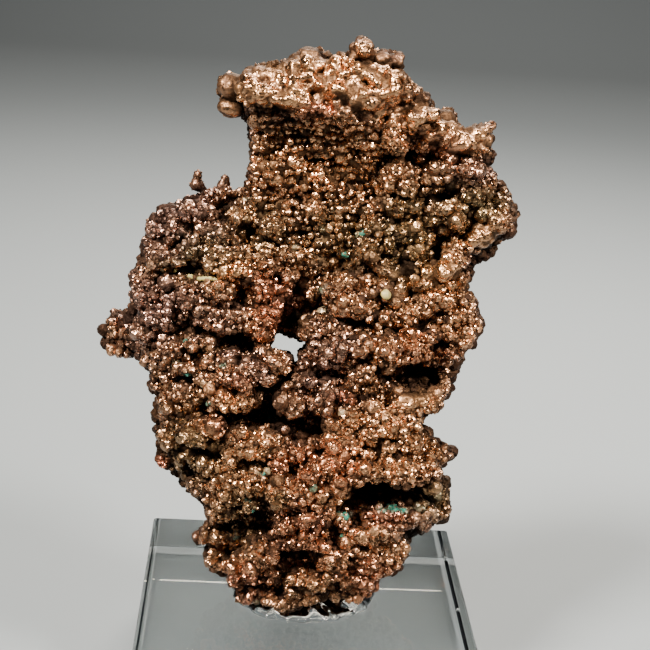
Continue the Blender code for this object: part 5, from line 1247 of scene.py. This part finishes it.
crust_piece("nodules_rows", row_at, np.broadcast_to(ROW_FRONT, row_at.shape),
            ROW_RADIUS * dice.uniform(0.7, 1.3, len(row_at)), FINE_BALL, 0.1)

# Knobs of the rim, 0.6 to 1.2 mm across.
rim_at, rim_radii = rim_nodules(dice, *RIM_KNOBS)
keep = (zone_sum(seen(rim_at), SMOOTH_ZONES) < 0.5) & (rim_at[:, 2] > 0.6)
crust_piece("nodules_rim", rim_at[keep], np.broadcast_to(FRONT, rim_at[keep].shape),
            rim_radii[keep, 0], FINE_BALL, 0.1)

# Nodules and crystals on the smooth lumps, except where they are fused quite smooth.
lump_at, lump_normal, _ = scatter(crown, halves(crown_quads), LUMP_TRIES, dice)
lump_rough = np.flatnonzero(zone_sum(seen(lump_at), SMOOTH_ZONES) < 0.45)
for name, spacing, radius, shape in (
        ("nodules_lumps", 0.85, 0.3, BALL), ("crystals_lumps", 0.6, 0.2, OCTAHEDRON)):
    chosen = lump_rough[thinned(lump_at[lump_rough], spacing)]
    crust_piece(name, lump_at[chosen], lump_normal[chosen],
                radius * dice.uniform(0.7, 1.4, len(chosen)), shape, 0.12)

# Sharp crystals, 0.3 to 0.6 mm across, and up to 0.8 mm on the back.
for name, allowed, spacing, radius in (
        ("crystals_upper", on_front & (skin_z > 29.0), 0.43, 0.21),
        ("crystals_lower", on_front & (skin_z <= 29.0), 0.43, 0.21),
        ("crystals_back", ~on_front, 0.62, 0.3)):
    chosen = np.flatnonzero(open_skin & (skin_deep < 0.8) & allowed)
    chosen = chosen[thinned(skin_at[chosen], spacing)]
    chosen = chosen[luck[chosen] > 0.85 * roundness[chosen]]
    # Half the depth of the crevice under each crystal is passed on as painted shade, and their feet get
    # a lighter painted shade.
    crust_piece(name, skin_at[chosen], skin_normal[chosen],
                radius * dice.uniform(0.7, 1.4, len(chosen)), OCTAHEDRON, 0.15,
                0.5 * skin_deep[chosen], CRYSTAL_FOOT_SHADE)

# ---------------------------------------------------------------------------------------------
# Pale mineral: a sliver of cream-green crust along a ledge of the left flank, and one grey-white
# grain on the right. They are brittle carbonate and quartz that grew on the copper.
# ---------------------------------------------------------------------------------------------

SLIVER_LINE = [(-17.7, 40.3), (-17.2, 40.8), (-16.6, 40.8), (-15.9, 40.1), (-15.0, 39.7),
               (-13.6, 39.9), (-12.2, 39.7)]
SLIVER_STEP, SLIVER_THICK, SLIVER_PROUD = 0.12, 0.17, 0.35
PALE_GRAIN, PALE_GRAIN_PROUD = (6.9, 39.1, 0.6), -0.1


def mottled_material(name, roughness, grain, detail, edge, most, first, second):
    """A matt material of two colours: a noise whose grains are so many mm, mapped from the
    edge and from one less the edge on no share and on the most of the second colour."""
    material, tree, shader, place = new_material(name, Roughness=roughness)
    cloud = add_node(tree, "ShaderNodeTexNoise", {
        "Vector": place, "Scale": pattern_scale(grain), "Detail": detail})
    share = add_node(tree, "ShaderNodeMapRange", {
        "Value": cloud.outputs["Fac"], "From Min": edge, "From Max": 1.0 - edge, "To Max": most})
    colour = add_node(tree, "ShaderNodeMix", {
        0: share.outputs["Result"], 6: linear(first), 7: linear(second)}, data_type="RGBA")
    tree.links.new(colour.outputs[2], shader.inputs["Base Color"])
    return material


pale = mottled_material("pale carbonate crust", roughness=0.55, grain=0.8, detail=3.0, edge=0.35,
                        most=1.0, first="7A7449", second="A89C62")
sliver = along(SLIVER_LINE, SLIVER_STEP)
thick = SLIVER_THICK * (0.6 + 0.9 * np.sin(np.linspace(0.1, 3.0, len(sliver)))) \
    * dice.uniform(0.8, 1.25, len(sliver))
pale_sight = np.concatenate([sliver, [PALE_GRAIN[:2]]])
pale_proud = np.append(np.full(len(sliver), SLIVER_PROUD), PALE_GRAIN_PROUD)
pale_depth = near_skin(pale_sight) - sway(*pale_sight.T) + pale_proud
pale_points, pale_faces, _ = grown_on(
    placed(*pale_sight.T, pale_depth), np.broadcast_to(FRONT, (len(pale_sight), 3)),
    np.append(thick, PALE_GRAIN[2]), FINE_BALL, 0.1, dice)
pale_piece = mesh_piece("pale_mineral", pale_points * MM + (0.0, 0.0, BLOCK_TOP), pale_faces, pale)
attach(pale_piece, "root")

# ---------------------------------------------------------------------------------------------
# Studio: a pale sweep of card that rises behind the block, two soft lamps above and in front of
# it, one at each side, and a weaker one behind, with grids that keep light off the far card.
# ---------------------------------------------------------------------------------------------

SWEEP_WIDTH, SWEEP_FRONT, SWEEP_BACK = 3.0, -1.2, 0.55
SWEEP_CURVE, SWEEP_TOP, SWEEP_LOW = 0.35, 1.4, -0.5 * MM
LAMP_SPREAD = math.radians(76.0)
LAMP_TINT, AIR_TINT, AIR_STRENGTH = "FFF3E0", "C8CCD2", 0.08


def sweep_sheet():
    """A profile along Y and Z, flat, then a quarter circle, then upright, carried along X."""
    bend_at = np.linspace(0.0, math.pi / 2, 24)
    y = np.concatenate([[SWEEP_FRONT], SWEEP_BACK + SWEEP_CURVE * np.sin(bend_at),
                        [SWEEP_BACK + SWEEP_CURVE]])
    z = np.concatenate([[0.0], SWEEP_CURVE * (1.0 - np.cos(bend_at)), [SWEEP_TOP]]) + SWEEP_LOW
    x = np.array([-SWEEP_WIDTH, SWEEP_WIDTH])
    points = np.stack(np.broadcast_arrays(x[:, None], y[None], z[None]), axis=-1)
    step = np.arange(len(y) - 1)
    faces = np.stack([step, step + len(y), step + len(y) + 1, step + 1], axis=-1)
    return points.reshape(-1, 3), faces


def stand(name, data, side, up, away, at):
    """An object of the scene at a place, turned so that its X, Y and Z lie along the side, up
    and away directions."""
    holder = in_scene(name, data)
    holder.matrix_world = Matrix([*zip(side, up, away, at), (0.0, 0.0, 0.0, 1.0)])
    return holder


card = mottled_material("matt studio card", roughness=0.7, grain=3.0, detail=4.0, edge=0.3,
                        most=0.08, first="6A727A", second="656D75")
mesh_piece("floor", *sweep_sheet(), card)

# Each lamp's place, what it is turned to, its side and its power, in metres and watts.
for name, at, aim, size, power in (
        ("left lamp", (-0.26, -0.26, 0.46), (0.10, 0.17, 0.03), 0.12, 3.3),
        ("right lamp", (0.36, -0.24, 0.40), (0.06, 0.14, 0.03), 0.12, 2.15),
        ("back lamp", (0.08, 0.40, 0.42), (0.0, 0.0, 0.04), 0.25, 1.4)):
    lamp = bpy.data.lights.new(name, "AREA")
    lamp.shape = "SQUARE"
    lamp.size = size
    lamp.energy = power
    lamp.spread = LAMP_SPREAD
    lamp.color = linear(LAMP_TINT)[:3]
    away = np.subtract(at, aim)
    away /= np.linalg.norm(away)
    side = np.cross((0.0, 0.0, 1.0), away)
    side /= np.linalg.norm(side)
    stand(name, lamp, side, np.cross(away, side), away, at)

world = bpy.data.worlds.new("studio air")
world.use_nodes = True
world.node_tree.nodes.clear()
air = add_node(world.node_tree, "ShaderNodeBackground", {
    "Color": linear(AIR_TINT), "Strength": AIR_STRENGTH})
add_node(world.node_tree, "ShaderNodeOutputWorld", {"Surface": air.outputs["Background"]})
bpy.context.scene.world = world

# Camera: in front, a little to the left, looking down by 18 degrees and rolled by 4.
CAMERA_AT = (-9.679 * MM, -165.382 * MM, 100.808 * MM)
CAMERA_DOWN, CAMERA_TURN, CAMERA_ROLL = np.radians([18.0, 3.4, 4.0])
FOCAL_PIXELS, IMAGE_PIXELS = 1500.0, 650.0

forward = np.array([math.sin(CAMERA_TURN) * math.cos(CAMERA_DOWN),
                    math.cos(CAMERA_TURN) * math.cos(CAMERA_DOWN), -math.sin(CAMERA_DOWN)])
level = np.array([math.cos(CAMERA_TURN), -math.sin(CAMERA_TURN), 0.0])
down = np.cross(forward, level)
right = math.cos(CAMERA_ROLL) * level - math.sin(CAMERA_ROLL) * down
low = math.sin(CAMERA_ROLL) * level + math.cos(CAMERA_ROLL) * down
lens = bpy.data.cameras.new("camera")
lens.sensor_width = 36.0
lens.lens = lens.sensor_width * FOCAL_PIXELS / IMAGE_PIXELS
lens.clip_start = 0.01
bpy.context.scene.camera = stand("camera", lens, right, -low, -forward, CAMERA_AT)
